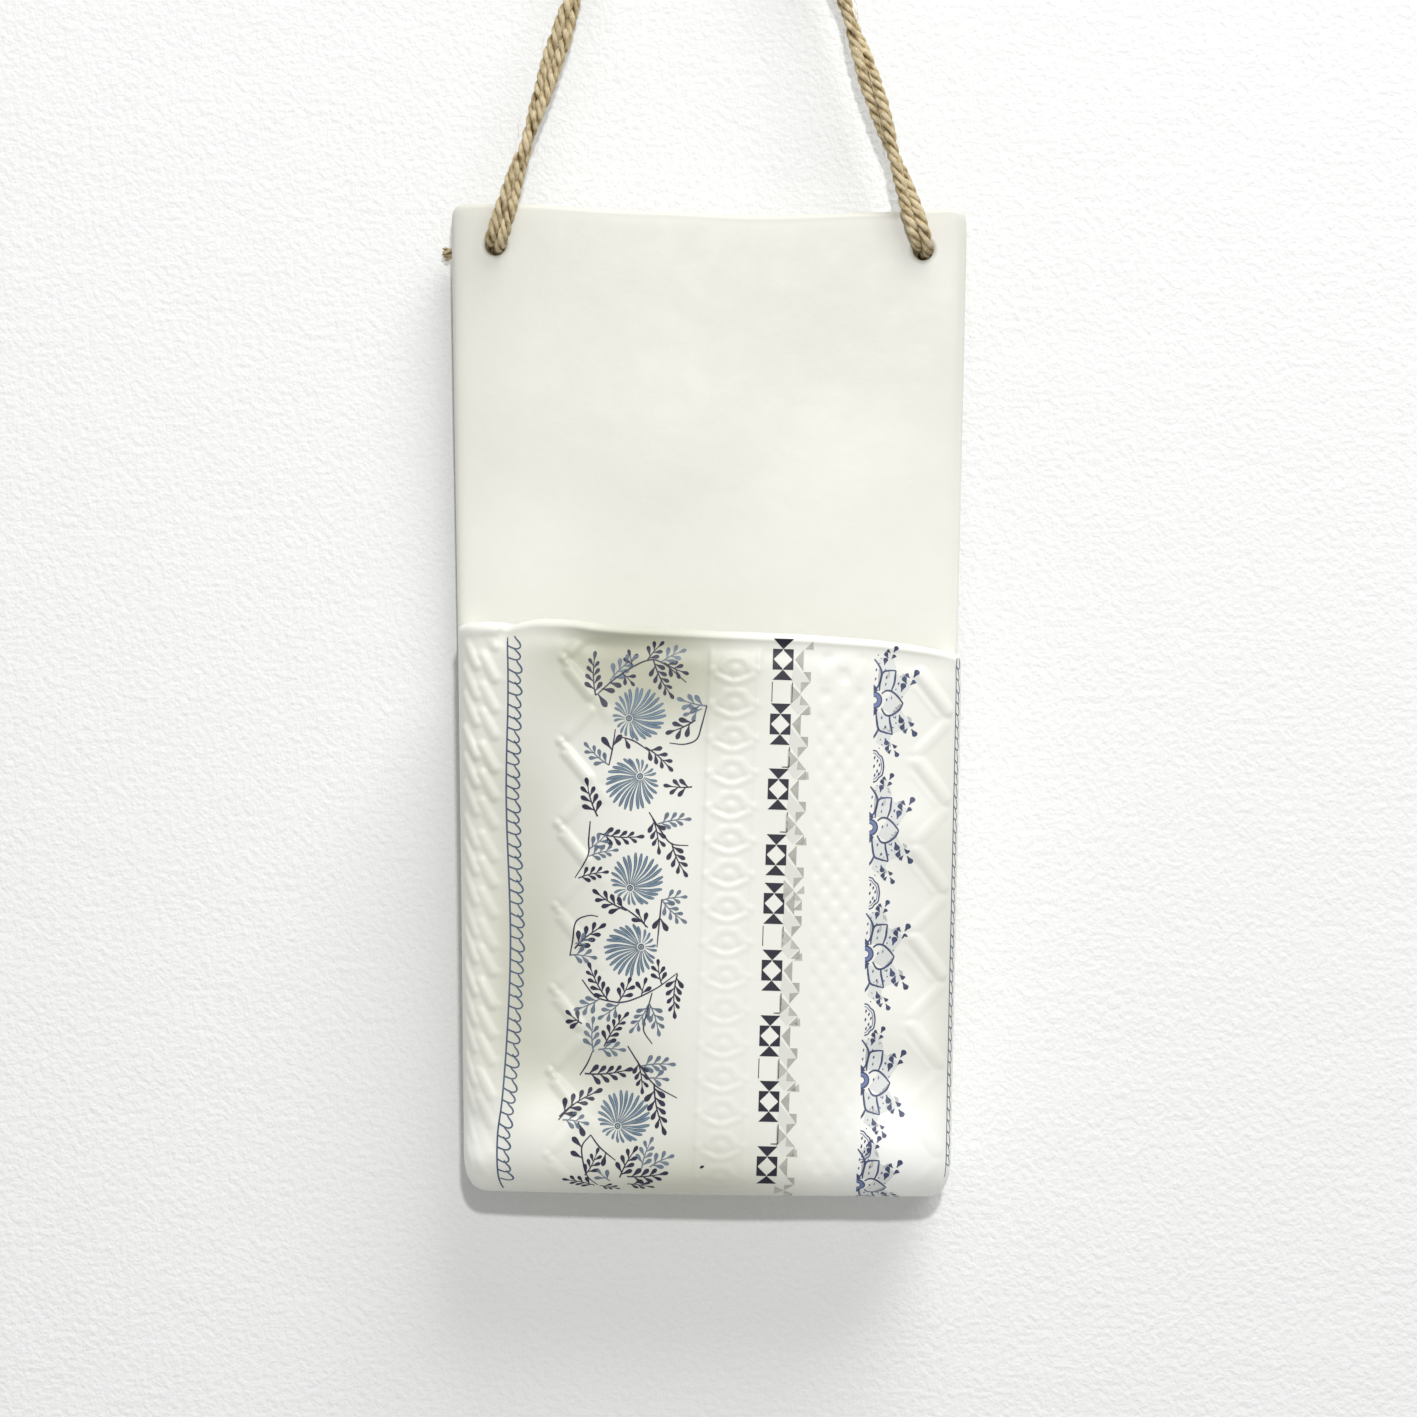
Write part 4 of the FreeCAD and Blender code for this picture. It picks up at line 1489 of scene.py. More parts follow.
@dataclass(frozen=True)
class Blossom:
    """A round blossom: petals run out from a ring that sits off its middle."""

    radius: float = 6.5
    ring: float = 0.6
    off: float = 2.8
    petals: int = 25

    def motif(self, title: str) -> Piece:
        """Draw the blossom round its ring, with its longer petals going up."""
        marks = [Pen.ring((0, 0), self.ring, 0.34, 0.05), Pen.ring((0, 0), 0.16, 0.3, 0.1, steps=6)]
        for index in range(self.petals):
            turn = 2 * math.pi * (index + 0.12 * math.sin(2.6 * index)) / self.petals
            radius = self.radius * (0.985 + 0.025 * math.sin(4.1 * index))
            tip = (radius * math.sin(turn), self.off + radius * math.cos(turn))
            reach = math.hypot(*tip)
            dx, dy = tip[0] / reach, tip[1] / reach
            inner, bow = self.ring + 0.38, 0.05 * reach
            middle = 0.55 * (inner + reach)
            line = ((inner * dx, inner * dy), (middle * dx + bow * dy, middle * dy - bow * dx), tip)
            wide = min(0.88, 0.44 + 0.06 * reach)
            widths = tuple(wide * share for share in (0.16, 0.28, 0.44, 0.66, 0.88, 1.0, 0.5))
            marks.append(Pen.stroke(line, widths, 8, (0.0, 1.0)))
        return Bench.join(title, marks)


@dataclass
class Transfer:
    """One printed layer: copies of flat motifs, laid out on the unfolded clay and fused to it."""

    title: str
    pocket: FrontPocket
    lift: float = 0.055
    body: float = 0.045
    weld: float = 0.004
    laid: list[Piece] = field(default_factory=list)

    def lay(self, motif: Piece, x: float, h: float, turn: float = 0.0, size: float = 1.0,
            flip: bool = False) -> None:
        """Lay one copy of a motif.

        Args:
            motif: The flat motif, in millimetres.
            x: Its place across.
            h: Its height.
            turn: Degrees to turn it to the left.
            size: A factor on its size.
            flip: Whether it is mirrored first.
        """
        twin = Bench.copy(motif, f"{self.title}_{len(self.laid)}")
        flat = Bench.points(twin)
        side = -size if flip else size
        angle = math.radians(turn)
        a, b = flat[:, 0] * side, flat[:, 1] * size
        across = x + a * math.cos(angle) - b * math.sin(angle)
        up = h + a * math.sin(angle) + b * math.cos(angle)
        Bench.flatten(twin, np.column_stack([across, up]))
        if flip:
            twin.data.flip_normals()
        self.laid.append(twin)

    def fuse(self, ink: Finish) -> Piece:
        """Join the copies, wrap them on the pocket's skin and give them the ink's body."""
        piece = Bench.join(self.title, self.laid)
        flat = Bench.points(piece)
        Bench.shape(piece, self.pocket.skin(flat[:, 0], flat[:, 1], self.lift) * MM)
        Bench.pick(piece, Pick.VERTS)
        with Bench.editing(piece):
            bpy.ops.mesh.remove_doubles(threshold=self.weld * MM)
        Bench.apply(piece, "SOLIDIFY", thickness=self.body * MM, offset=-1.0)
        Bench.smooth(piece, 40)
        Bench.settle(piece, self.pocket.hang.matrix())
        return Bench.dress(piece, ink, Slot.PRINTED, Body.VASE)


def discard(motifs: Sequence[Piece]) -> None:
    """Remove the drawn originals once their copies are laid."""
    for motif in motifs:
        bpy.data.objects.remove(motif)


@dataclass
class LoopBorders:
    """The running loops beside both side bands."""

    pocket: FrontPocket
    pitch: float = 2.86
    left_line: tuple[Place, ...] = (
        (-48.8, 139.6), (-48.6, 126.0), (-49.2, 99.6), (-48.3, 63.0), (-49.8, 31.2), (-51.2, 19.0),
        (-51.7, 10.5), (-50.6, 4.4), (-50.2, 0.5))
    loop: tuple[Place, ...] = (
        (0.1, 0.1), (1.0, -0.35), (2.0, -0.7), (2.9, -0.6), (3.35, 0.0), (3.0, 0.9), (2.3, 1.7), (1.8, 2.5))
    width: float = 0.4
    side_place: float = 1.0

    def build(self, ink: Finish) -> list[Piece]:
        """Draw both borders."""
        loop = Pen.stroke(self.loop, (self.width, 0.9 * self.width, 1.15 * self.width, 0.8 * self.width), 18)
        pieces = [self._border("left_loop_border", loop, ink, self.left_line, 1.0)]
        side = tuple((self.pocket.outline.right(h) - self.side_place, h)
                     for h in (134.4, 100.0, 60.0, 20.0, 5.0))
        pieces.append(self._border("right_loop_border", loop, ink, side, 0.96))
        discard([loop])
        return pieces

    def _border(self, title: str, loop: Piece, ink: Finish,
                line: Sequence[Place], size: float) -> Piece:
        """Print one border.

        Args:
            title: The name of the new piece.
            loop: One loop, as drawn at its full size.
            ink: The ink.
            line: The line that the loops run down, from the rim to the foot.
            size: A factor on the loops' size.
        Returns:
            The border.
        """
        layer = Transfer(title, self.pocket)
        low, high = line[-1][1], line[0][1]
        places, _ = smooth_line(line, np.linspace(0, 1, 90))
        base = Pen.stroke(np.vstack([places[::6], places[-1:]]),
                          (self.width, self.width * 1.1, self.width), 150)
        layer.lay(base, 0, 0)
        for step in range(int((high - low - 2) / self.pitch)):
            h = high - 2.2 - step * self.pitch
            x = float(np.interp(h, places[::-1, 1], places[::-1, 0]))
            wobble = math.sin(2.1 * step)
            layer.lay(loop, x, h, 5 * wobble, size * (0.97 + 0.06 * math.sin(3.7 * step)))
        discard([base])
        return layer.fuse(ink)


class Shoot(Enum):
    """The kinds of growth on the floral band, by their pairs of leaves."""

    LEAF = 0
    BUD = 1
    TWIG = 2
    SPRAY = 3
    FROND = 4


LEAF, BUD, TWIG, SPRAY, FROND = Shoot


@dataclass(frozen=True)
class Growth:
    """One sprig or leaf: its kind, the places of its root and its tip, and whether it is mirrored."""

    kind: Shoot
    root: Place
    tip: Place
    flip: bool = False


@dataclass
class FloralBand:
    """The broad band of blossoms and sprigs."""

    pocket: FrontPocket
    bends: dict[Shoot, float] = field(default_factory=lambda: {BUD: 0.3, TWIG: 0.7, SPRAY: 1.1, FROND: 1.6})
    blossoms: tuple[tuple[float, float, float], ...] = (
        (-19.0, 119.8, -66.0), (-16.3, 105.7, 135.0), (-18.8, 78.3, -39.0), (-16.1, 63.9, 111.0),
        (-21.9, 19.7, -35.0))
    dark: tuple[Growth, ...] = (
        Growth(FROND, (-27.1, 125.4), (-27.6, 136.2)), Growth(LEAF, (-25.6, 127.0), (-22.4, 126.4)),
        Growth(LEAF, (-26.6, 125.8), (-24.4, 122.6)), Growth(LEAF, (-23.9, 128.6), (-20.8, 127.6)),
        Growth(BUD, (-20.6, 130.8), (-17.4, 128.0)), Growth(BUD, (-18.2, 132.2), (-18.8, 136.6), True),
        Growth(TWIG, (-14.6, 133.8), (-10.8, 138.8)), Growth(FROND, (-13.0, 134.0), (-8.4, 124.4), True),
        Growth(TWIG, (-10.4, 133.4), (-4.6, 130.2), True), Growth(TWIG, (-2.8, 119.4), (-9.8, 115.6)),
        Growth(LEAF, (-23.2, 112.2), (-25.6, 115.2)), Growth(LEAF, (-23.0, 113.0), (-20.8, 115.8)),
        Growth(LEAF, (-20.0, 115.0), (-18.9, 112.4)), Growth(SPRAY, (-15.0, 112.8), (-8.0, 107.2)),
        Growth(SPRAY, (-26.7, 95.8), (-29.9, 105.2)), Growth(TWIG, (-3.6, 103.1), (-10.6, 103.0)),
        Growth(FROND, (-26.2, 91.6), (-15.2, 90.6), True), Growth(SPRAY, (-13.2, 95.4), (-11.2, 86.6)),
        Growth(SPRAY, (-8.6, 89.4), (-5.2, 80.8), True), Growth(SPRAY, (-31.4, 80.6), (-24.0, 82.6)),
        Growth(SPRAY, (-19.6, 72.8), (-28.2, 77.4)), Growth(BUD, (-14.8, 68.8), (-17.6, 73.0)),
        Growth(LEAF, (-11.4, 71.2), (-13.2, 68.4)), Growth(LEAF, (-11.3, 70.8), (-9.6, 67.8)),
        Growth(SPRAY, (-32.4, 63.2), (-25.0, 69.8)), Growth(FROND, (-24.0, 50.4), (-29.4, 59.8)),
        Growth(TWIG, (-21.6, 50.4), (-18.2, 56.2), True), Growth(BUD, (-16.0, 51.6), (-15.2, 56.4)),
        Growth(TWIG, (-11.0, 54.6), (-12.4, 60.8)), Growth(FROND, (-7.2, 57.2), (-8.2, 46.2), True),
        Growth(BUD, (-30.6, 44.8), (-34.8, 47.6)), Growth(LEAF, (-31.2, 45.4), (-33.6, 43.6)),
        Growth(FROND, (-25.2, 39.2), (-19.4, 48.0)), Growth(FROND, (-30.0, 32.4), (-18.0, 33.4), True),
        Growth(SPRAY, (-17.0, 35.8), (-15.4, 27.6)), Growth(FROND, (-12.9, 30.2), (-10.6, 17.4), True),
        Growth(FROND, (-36.2, 22.0), (-25.8, 29.0)), Growth(LEAF, (-31.6, 20.6), (-30.1, 17.2)),
        Growth(LEAF, (-30.6, 14.4), (-33.0, 17.0)), Growth(LEAF, (-30.5, 11.8), (-33.4, 13.4)),
        Growth(SPRAY, (-30.0, 7.2), (-26.2, 14.2), True), Growth(LEAF, (-24.8, 13.0), (-25.6, 9.8)),
        Growth(SPRAY, (-21.4, 6.6), (-17.4, 15.0)), Growth(SPRAY, (-19.6, 6.9), (-9.4, 7.6), True),
        Growth(TWIG, (-19.6, 4.2), (-12.8, 3.0)), Growth(SPRAY, (-27.6, 3.4), (-35.4, 6.4), True),
        Growth(TWIG, (-26.4, 3.2), (-21.2, 1.6)))
    blue: tuple[Growth, ...] = (
        Growth(SPRAY, (-23.6, 129.0), (-17.0, 135.6)), Growth(TWIG, (-11.0, 133.6), (-5.2, 137.0)),
        Growth(TWIG, (0.0, 122.9), (-7.4, 124.2)), Growth(BUD, (-1.2, 122.2), (-5.6, 120.2)),
        Growth(SPRAY, (-23.9, 108.4), (-30.2, 113.6)), Growth(SPRAY, (-12.0, 94.0), (-3.8, 95.6)),
        Growth(SPRAY, (-28.9, 86.0), (-21.6, 88.0)), Growth(TWIG, (-28.8, 87.8), (-23.6, 91.8), True),
        Growth(SPRAY, (-11.0, 75.4), (-5.2, 69.4), True), Growth(TWIG, (-10.8, 75.4), (-4.8, 76.6)),
        Growth(TWIG, (-33.4, 61.6), (-26.8, 61.4)), Growth(BUD, (-32.2, 64.4), (-28.0, 66.0)),
        Growth(TWIG, (-26.2, 51.0), (-32.4, 47.6)), Growth(TWIG, (-21.4, 50.0), (-26.4, 45.6)),
        Growth(SPRAY, (-14.2, 50.2), (-11.2, 42.0)), Growth(SPRAY, (-14.4, 49.6), (-18.6, 42.4)),
        Growth(SPRAY, (-27.8, 37.8), (-28.2, 46.6)), Growth(TWIG, (-26.6, 38.4), (-19.8, 38.8)),
        Growth(SPRAY, (-16.4, 34.4), (-7.6, 35.4)), Growth(BUD, (-14.0, 31.6), (-9.2, 31.6)),
        Growth(TWIG, (-35.4, 21.2), (-28.8, 20.6)), Growth(SPRAY, (-16.0, 9.2), (-13.6, 17.2)),
        Growth(TWIG, (-14.0, 9.6), (-8.2, 13.0)), Growth(BUD, (-23.8, 5.4), (-27.4, 8.8)))
    tendrils: tuple[tuple[Place, ...], ...] = (
        ((-27.1, 125.4), (-21.4, 130.2), (-15.0, 133.8), (-10.9, 133.4), (-5.0, 128.6)),
        ((0.0, 122.9), (-1.3, 118.0), (-2.5, 114.7), (-5.5, 113.5), (-9.1, 113.8)),
        ((-23.9, 108.3), (-23.0, 112.5), (-22.3, 117.2)),
        ((-20.6, 115.2), (-17.6, 114.2), (-14.0, 111.8)),
        ((-14.1, 96.9), (-11.0, 92.0), (-8.6, 89.2), (-4.5, 88.7)),
        ((-28.5, 94.6), (-28.9, 90.0), (-29.1, 86.0), (-32.3, 80.6)),
        ((-14.4, 68.6), (-17.6, 71.6), (-22.0, 74.6)),
        ((-11.0, 75.6), (-11.6, 70.0), (-12.2, 63.8)),
        ((-33.6, 61.4), (-32.8, 65.6), (-32.0, 69.9), (-29.0, 71.4), (-26.6, 71.2)),
        ((-30.6, 55.6), (-27.6, 51.8), (-24.2, 50.5), (-19.6, 50.4), (-12.7, 53.5), (-7.2, 57.5)),
        ((-13.4, 52.6), (-14.6, 48.0), (-15.5, 43.5), (-13.4, 40.0)),
        ((-31.2, 32.0), (-29.4, 34.8), (-28.0, 38.0)),
        ((-19.4, 39.4), (-15.9, 33.9), (-12.7, 29.8), (-7.3, 26.7)),
        ((-36.4, 21.2), (-33.6, 24.2), (-31.0, 26.0)),
        ((-28.5, 17.5), (-30.6, 14.8), (-30.4, 11.0), (-29.4, 7.1), (-26.8, 3.6)),
        ((-28.5, 17.5), (-26.2, 14.4), (-22.4, 11.2)))

    def build(self, indigo: Finish, slate: Finish, blue: Finish) -> list[Piece]:
        """Draw the band in its three inks."""
        shapes = {kind: Sprig(kind.value, bend) for kind, bend in self.bends.items()}
        kinds = {kind: shape.motif(kind.name.lower()) for kind, shape in shapes.items()}
        tips = {kind: shape.tip for kind, shape in shapes.items()}
        kinds[LEAF], tips[LEAF] = Leaf().mark((0, 0), 0, 0.1), (0.0, Leaf().length)
        blossom = Blossom().motif("blossom")
        pieces = []
        heads = Transfer("blossoms", self.pocket)
        for x, h, turn in self.blossoms:
            heads.lay(blossom, x, h, turn)
        pieces.append(heads.fuse(slate))
        for title, sprigs, ink in (("dark_sprigs", self.dark, indigo), ("blue_sprigs", self.blue, blue)):
            layer = Transfer(title, self.pocket)
            for sprig in sprigs:
                across, up = tips[sprig.kind]
                across = -across if sprig.flip else across
                run, rise = sprig.tip[0] - sprig.root[0], sprig.tip[1] - sprig.root[1]
                turn = math.degrees(math.atan2(rise, run) - math.atan2(up, across))
                size = math.hypot(run, rise) / math.hypot(across, up)
                layer.lay(kinds[sprig.kind], *sprig.root, turn, size, sprig.flip)
            pieces.append(layer.fuse(ink))
        lines = Transfer("tendrils", self.pocket)
        drawn = [Pen.stroke(line, (0.28, 0.38, 0.34, 0.22), 7 * len(line)) for line in self.tendrils]
        for line in drawn:
            lines.lay(line, 0, 0)
        pieces.append(lines.fuse(indigo))
        discard([*kinds.values(), blossom, *drawn])
        return pieces


@dataclass
class Patchwork:
    """The column of patchwork squares, and the pinwheel teeth beside it."""

    pocket: FrontPocket
    centres: tuple[Place, ...] = (
        (18.6, 134.2), (17.9, 118.4), (17.4, 102.5), (16.9, 86.4), (16.4, 74.5), (15.9, 58.1),
        (15.4, 42.0), (15.2, 25.9), (14.7, 9.8))
    framed: tuple[int, ...] = (0, 4, 6)
    hemmed: tuple[int, ...] = (1, 2, 5, 7)
    speck: Place = (-1.2, 9.7)
    square: float = 5.05
    tooth: float = 2.5
    base: float = 4.9
    gap: float = 0.32
    slit: float = 0.12
    blank_drop: float = 8.0
    slant: float = -1.8

    def build(self, dark: Finish, grey: Finish) -> list[Piece]:
        """Draw the squares in one ink and the teeth in the other."""
        block, frame_line, hem, teeth = self._block(), self._frame(), self._hem(), self._teeth()
        blade, speck = self._blades(), self._speck()
        squares, pins = Transfer("patchwork_squares", self.pocket), Transfer("pinwheel_teeth", self.pocket)
        vanes = Transfer("pinwheel_vanes", self.pocket, 0.028, 0.02)
        squares.lay(speck, *self.speck)
        for index, (x, h) in enumerate(self.centres):
            squares.lay(block, x, h, self.slant)
            if index in self.framed:
                squares.lay(frame_line, x - 0.25, h - self.blank_drop, self.slant)
            if index in self.hemmed:
                squares.lay(hem, x - 0.25, h - self.blank_drop, self.slant)
            pins.lay(teeth, x, h, self.slant)
            vanes.lay(blade, x, h, self.slant)
        pieces = [squares.fuse(dark), pins.fuse(grey), vanes.fuse(grey)]
        discard([block, frame_line, hem, teeth, blade, speck])
        return pieces

    def _block(self) -> Piece:
        """A square with a diamond left out of its middle, and a triangle on its head and foot."""
        half, base = self.square / 2, self.base / 2
        reach, slit = half - self.gap, self.slit
        marks = []
        for sx in (-1, 1):
            for sy in (-1, 1):
                corner = (sx * half, sy * half)
                marks.append(Pen.patch([corner, (sx * half, sy * slit), (sx * reach, sy * slit),
                                        (sx * slit, sy * reach)], 4, 0.1))
                marks.append(Pen.patch([corner, (sx * slit, sy * reach), (sx * slit, sy * half), corner],
                                       4, 0.1))
            marks.append(Pen.patch([(sx * half, -slit), (sx * half, slit), (sx * reach, slit),
                                    (sx * reach, -slit)], 1, 0.1))
        for sy in (-1, 1):
            apex, foot = sy * half, sy * (half + self.tooth)
            marks.append(Pen.patch([(-0.05, apex), (0.05, apex), (base, foot), (-base, foot)], 4, 0.12))
        return Bench.join("patch_block", marks)

    def _frame(self) -> Piece:
        """The thin line round some of the blank squares."""
        half = self.base / 2
        rows = [((-half, -half), (-half, half)), ((half, -half), (half, half))]
        return Bench.join("patch_frame", [Pen.stroke(row, (0.2, 0.2), 6) for row in rows])

    def _hem(self) -> Piece:
        """The line down the right side and along the foot of the other blank squares."""
        half = self.base / 2
        line = Pen.stroke(((half, half), (half, -half)), (0.22, 0.3), 6)
        foot = Pen.stroke(((half, -half), (0.3 * half, -half)), (0.3, 0.2), 4)
        return Bench.join("patch_hem", [line, foot])

    def _teeth(self) -> Piece:
        """One unit of the pinwheel column: five triangles round white blades."""
        shapes = [
            [(2.9, 0.1), (5.0, -2.7), (5.0, -2.7), (5.0, 2.5)],
            [(5.3, 2.6), (7.4, 2.6), (7.4, 2.6), (7.2, 4.6)],
            [(5.0, -2.9), (6.9, -2.9), (6.9, -2.9), (6.9, -5.4)],
            [(2.1, -6.0), (2.1, -11.0), (2.1, -11.0), (4.6, -8.5)],
            [(4.5, -5.5), (4.5, -8.1), (4.5, -8.1), (6.8, -5.3)],
            [(4.6, -8.6), (4.4, -11.0), (4.4, -11.0), (6.7, -11.0)],
            [(4.5, -13.4), (6.7, -13.4), (6.7, -13.4), (6.7, -11.1)],
        ]
        return Bench.join("pinwheel_unit", [Pen.patch(shape, 3, 0.05 + 0.25 * (number % 2))
                                            for number, shape in enumerate(shapes)])

    @staticmethod
    def _blades() -> Piece:
        """The two pale blades that the triangles stand round."""
        blades = [[(2.6, -0.7), (2.2, -4.7), (4.3, -7.4), (6.5, -5.0)],
                  [(4.2, -8.9), (2.2, -11.3), (4.0, -13.4), (6.2, -11.2)]]
        return Bench.join("pinwheel_blades", [Pen.patch(blade, 4, 1.9) for blade in blades])

    @staticmethod
    def _speck() -> Piece:
        """A dark speck in the glaze."""
        return Pen.stroke(((-0.5, -0.25), (0.0, 0.05), (0.5, 0.25)), (0.3, 0.75, 0.3), 6)


@dataclass
class LotusBand:
    """Half lotuses cut by the band's left edge, with half medallions and dotted corners between."""

    pocket: FrontPocket
    top: Place = (40.7, 124.2)
    pitch: float = 31.1
    slant: float = 0.032
    count: int = 5
    line: float = 0.42
    last_rise: float = 4.4
    sprays: tuple[tuple[float, float, float, float, bool], ...] = (
        # across and up from the lotus, turn, size, and whether it is mirrored
        (8.3, 3.9, 2, 1.2, False), (7.8, -5.5, 178, 1.2, True), (3.8, 10.2, 6, 1.0, False))

    def build(self, outline: Finish, shade: Finish) -> list[Piece]:
        """Draw the band's outlines and its washes."""
        lotus, wash, medal, corner = self._lotus(), self._wash(), self._medallion(), self._corner()
        lines = Transfer("lotus_lines", self.pocket)
        washes = Transfer("lotus_washes", self.pocket, 0.028, 0.02)
        for index in range(self.count):
            h = self.top[1] - index * self.pitch
            x = self.top[0] + self.slant * (h - self.top[1])
            h += self.last_rise if index == self.count - 1 else 0.0
            lines.lay(lotus, x, h)
            washes.lay(wash, x, h)
            for across, up, turn, size, flip in self.sprays:
                lines.lay(corner, x + across, h + up, turn, size, flip)
            if index < self.count - 1:
                lines.lay(corner, x + 4.0, h - 10.9, 174, 1.0, True)
                lines.lay(medal, x - 0.1, h - self.pitch / 2 - 0.6)
        pieces = [lines.fuse(outline), washes.fuse(shade)]
        discard([lotus, wash, medal, corner])
        return pieces

    def _lotus(self) -> Piece:
        """The petals' outlines, their veins and dots, and the ring at the heart."""
        petals = (
            ((2.0, 1.6), (3.1, 2.3), (4.5, 2.1), (5.9, 0.9), (7.2, -0.8)),
            ((7.2, -0.8), (6.3, -2.4), (4.4, -3.7), (2.9, -3.6), (1.9, -2.0)),
            ((1.4, 2.3), (1.6, 4.2), (2.3, 6.7), (3.9, 7.2), (5.5, 7.2)),
            ((5.5, 7.2), (5.3, 5.6), (5.1, 4.2), (4.4, 2.3)),
            ((0.6, -2.5), (0.8, -5.0), (1.3, -7.2), (2.8, -7.9), (4.6, -8.4)),
            ((4.6, -8.4), (4.3, -6.6), (4.0, -5.2), (3.9, -3.8)),
            ((0.3, 10.0), (1.6, 8.0), (2.0, 6.2), (1.3, 3.8), (0.5, 2.6)),
            ((-0.4, -9.6), (0.5, -8.4), (1.2, -7.0)))
        marks = [Pen.stroke(line, (0.8 * self.line, 1.2 * self.line, 1.2 * self.line, 0.8 * self.line),
                            6 * len(line)) for line in petals]
        dots = ((3.2, 5.6, 0.5), (3.0, 3.9, 0.35), (3.2, 0.1, 0.45), (4.4, 0.5, 0.3), (2.0, -4.3, 0.45),
                (2.9, -6.6, 0.6), (0.7, 7.4, 0.4), (0.5, 5.2, 0.4), (6.2, 4.0, 0.35), (5.4, -4.2, 0.35))
        marks += [Pen.dash((x, y), (0.1, 0.4), (0.1, size), 0.4) for x, y, size in dots]
        marks += [Pen.ring((0, 0), 1.42, 0.8, 1.5, -97, 97, 16),
                  Pen.ring((0, 0), 1.98, 0.34, 0.0, -95, 95, 16),
                  Pen.ring((0, 0), 0.94, 0.2, 0.0, -95, 95, 12)]
        marks += [Pen.stroke(((0.7, side * 2.1), (0.3, side * 2.9), (-0.2, side * 3.9)), (0.9, 1.0, 0.2), 6)
                  for side in (-1, 1)]
        return Bench.cut_left(Bench.join("lotus_outline", marks))

    def _wash(self) -> Piece:
        """Thin grey shading on the petals and behind the corners."""
        strokes = (
            (((4.6, -3.4), (5.7, -2.3), (6.7, -1.0)), 1.3, 0.35),
            (((3.0, 5.0), (3.6, 5.9), (3.9, 6.9)), 0.9, 0.6),
            (((2.0, -7.0), (3.2, -7.3), (4.2, -7.9)), 0.9, 0.35),
            (((1.2, 4.2), (1.5, 5.8), (1.4, 7.6)), 0.7, 0.6),
            (((6.4, 5.6), (7.6, 5.9), (8.6, 6.4)), 1.1, 0.75),
            (((8.2, -4.0), (8.8, -4.6), (9.3, -5.6)), 0.9, 0.7),
            (((4.4, 9.6), (4.9, 8.8), (5.3, 8.2)), 0.9, 0.75),
            (((3.6, -10.2), (4.0, -10.8), (4.2, -11.4)), 0.8, 0.7),
            (((6.2, -5.4), (6.4, -6.4), (6.3, -7.2)), 0.6, 0.75))
        grounds = (
            ((2.0, -1.8), (4.6, -3.5), (6.9, -0.8), (4.4, 2.0)),
            ((1.5, 2.6), (4.2, 2.5), (5.4, 7.0), (2.4, 6.8)),
            ((0.8, -7.2), (4.5, -8.2), (3.8, -3.9), (0.7, -2.6)),
            ((5.0, 2.6), (6.9, 0.2), (9.7, 4.2), (5.6, 6.6)),
            ((4.0, -8.4), (9.2, -6.6), (6.6, -2.0), (3.7, -4.2)),
            ((1.9, 7.2), (5.6, 7.8), (4.6, 11.6), (0.8, 9.6)),
            ((0.6, -10.2), (3.5, -12.2), (4.3, -8.8), (1.2, -7.6)))
        return Bench.join("lotus_wash", [Pen.patch(ground, 4, 1.75) for ground in grounds]
                          + [Pen.stroke(line, (0.25 * wide, wide, 0.3 * wide), 6, (tone - 0.25, tone))
                             for line, wide, tone in strokes])

    def _medallion(self) -> Piece:
        """A half medallion with a scalloped double edge and dashes."""
        edge = ((-0.2, 3.9), (0.8, 3.7), (1.5, 2.8), (2.2, 2.2), (2.5, 1.0), (2.6, 0.0), (2.5, -1.0),
                (2.2, -2.2), (1.4, -2.8), (0.8, -3.6), (-0.2, -3.9))
        inner = tuple((0.86 * x - 0.15, 0.84 * y) for x, y in edge)
        marks = [Pen.stroke(edge, (0.3, 0.36, 0.3), 32), Pen.stroke(inner, (0.16, 0.2, 0.16), 30, (0.4, 0.4))]
        for x, y in ((0.25, 0.0), (1.1, 1.3), (1.6, 0.3), (1.0, -1.2), (1.4, -1.9), (0.4, 2.1), (0.4, -2.2)):
            marks.append(Pen.dash((x, y), (0.1, 0.42), (0.15, 0.46)))
        return Bench.cut_left(Bench.join("medallion", marks))

    def _corner(self) -> Piece:
        """A spray of dark leaves and dots."""
        marks = []
        for x, y, turn, size in ((-1.3, -1.5, -20, 0.62), (-0.2, 0.0, 20, 0.55), (0.6, -0.2, -50, 0.45),
                                 (1.3, 1.3, -35, 0.6), (0.5, 1.2, 40, 0.4)):
            marks.append(Leaf(2.9 * size, 2.0 * size).mark((x, y), turn, 0.0))
        for x, y in ((-1.9, 0.2), (-0.6, 1.6), (1.7, 0.2), (-1.2, -2.6), (-2.5, 1.1), (-2.4, -1.0),
                     (0.1, 2.1)):
            marks.append(Pen.dash((x, y), (0.14, 0.12), (0.14, 0.26), 0.6, 3))
        return Bench.join("dotted_corner", marks)


# ---- the rope

@dataclass(frozen=True)
class Lay:
    """How a rope is laid: two plies round its line, and three strands round each ply."""

    ply_out: float = 1.36
    ply_pitch: float = 82.0
    strand_out: float = 0.82
    strand_radius: float = 0.74
    strand_pitch: float = 8.8
    strands: int = 3
    ring: int = 10
    step: float = 0.8
    drift: float = 0.35
    wobble: float = 0.25
    ridge: float = 0.07


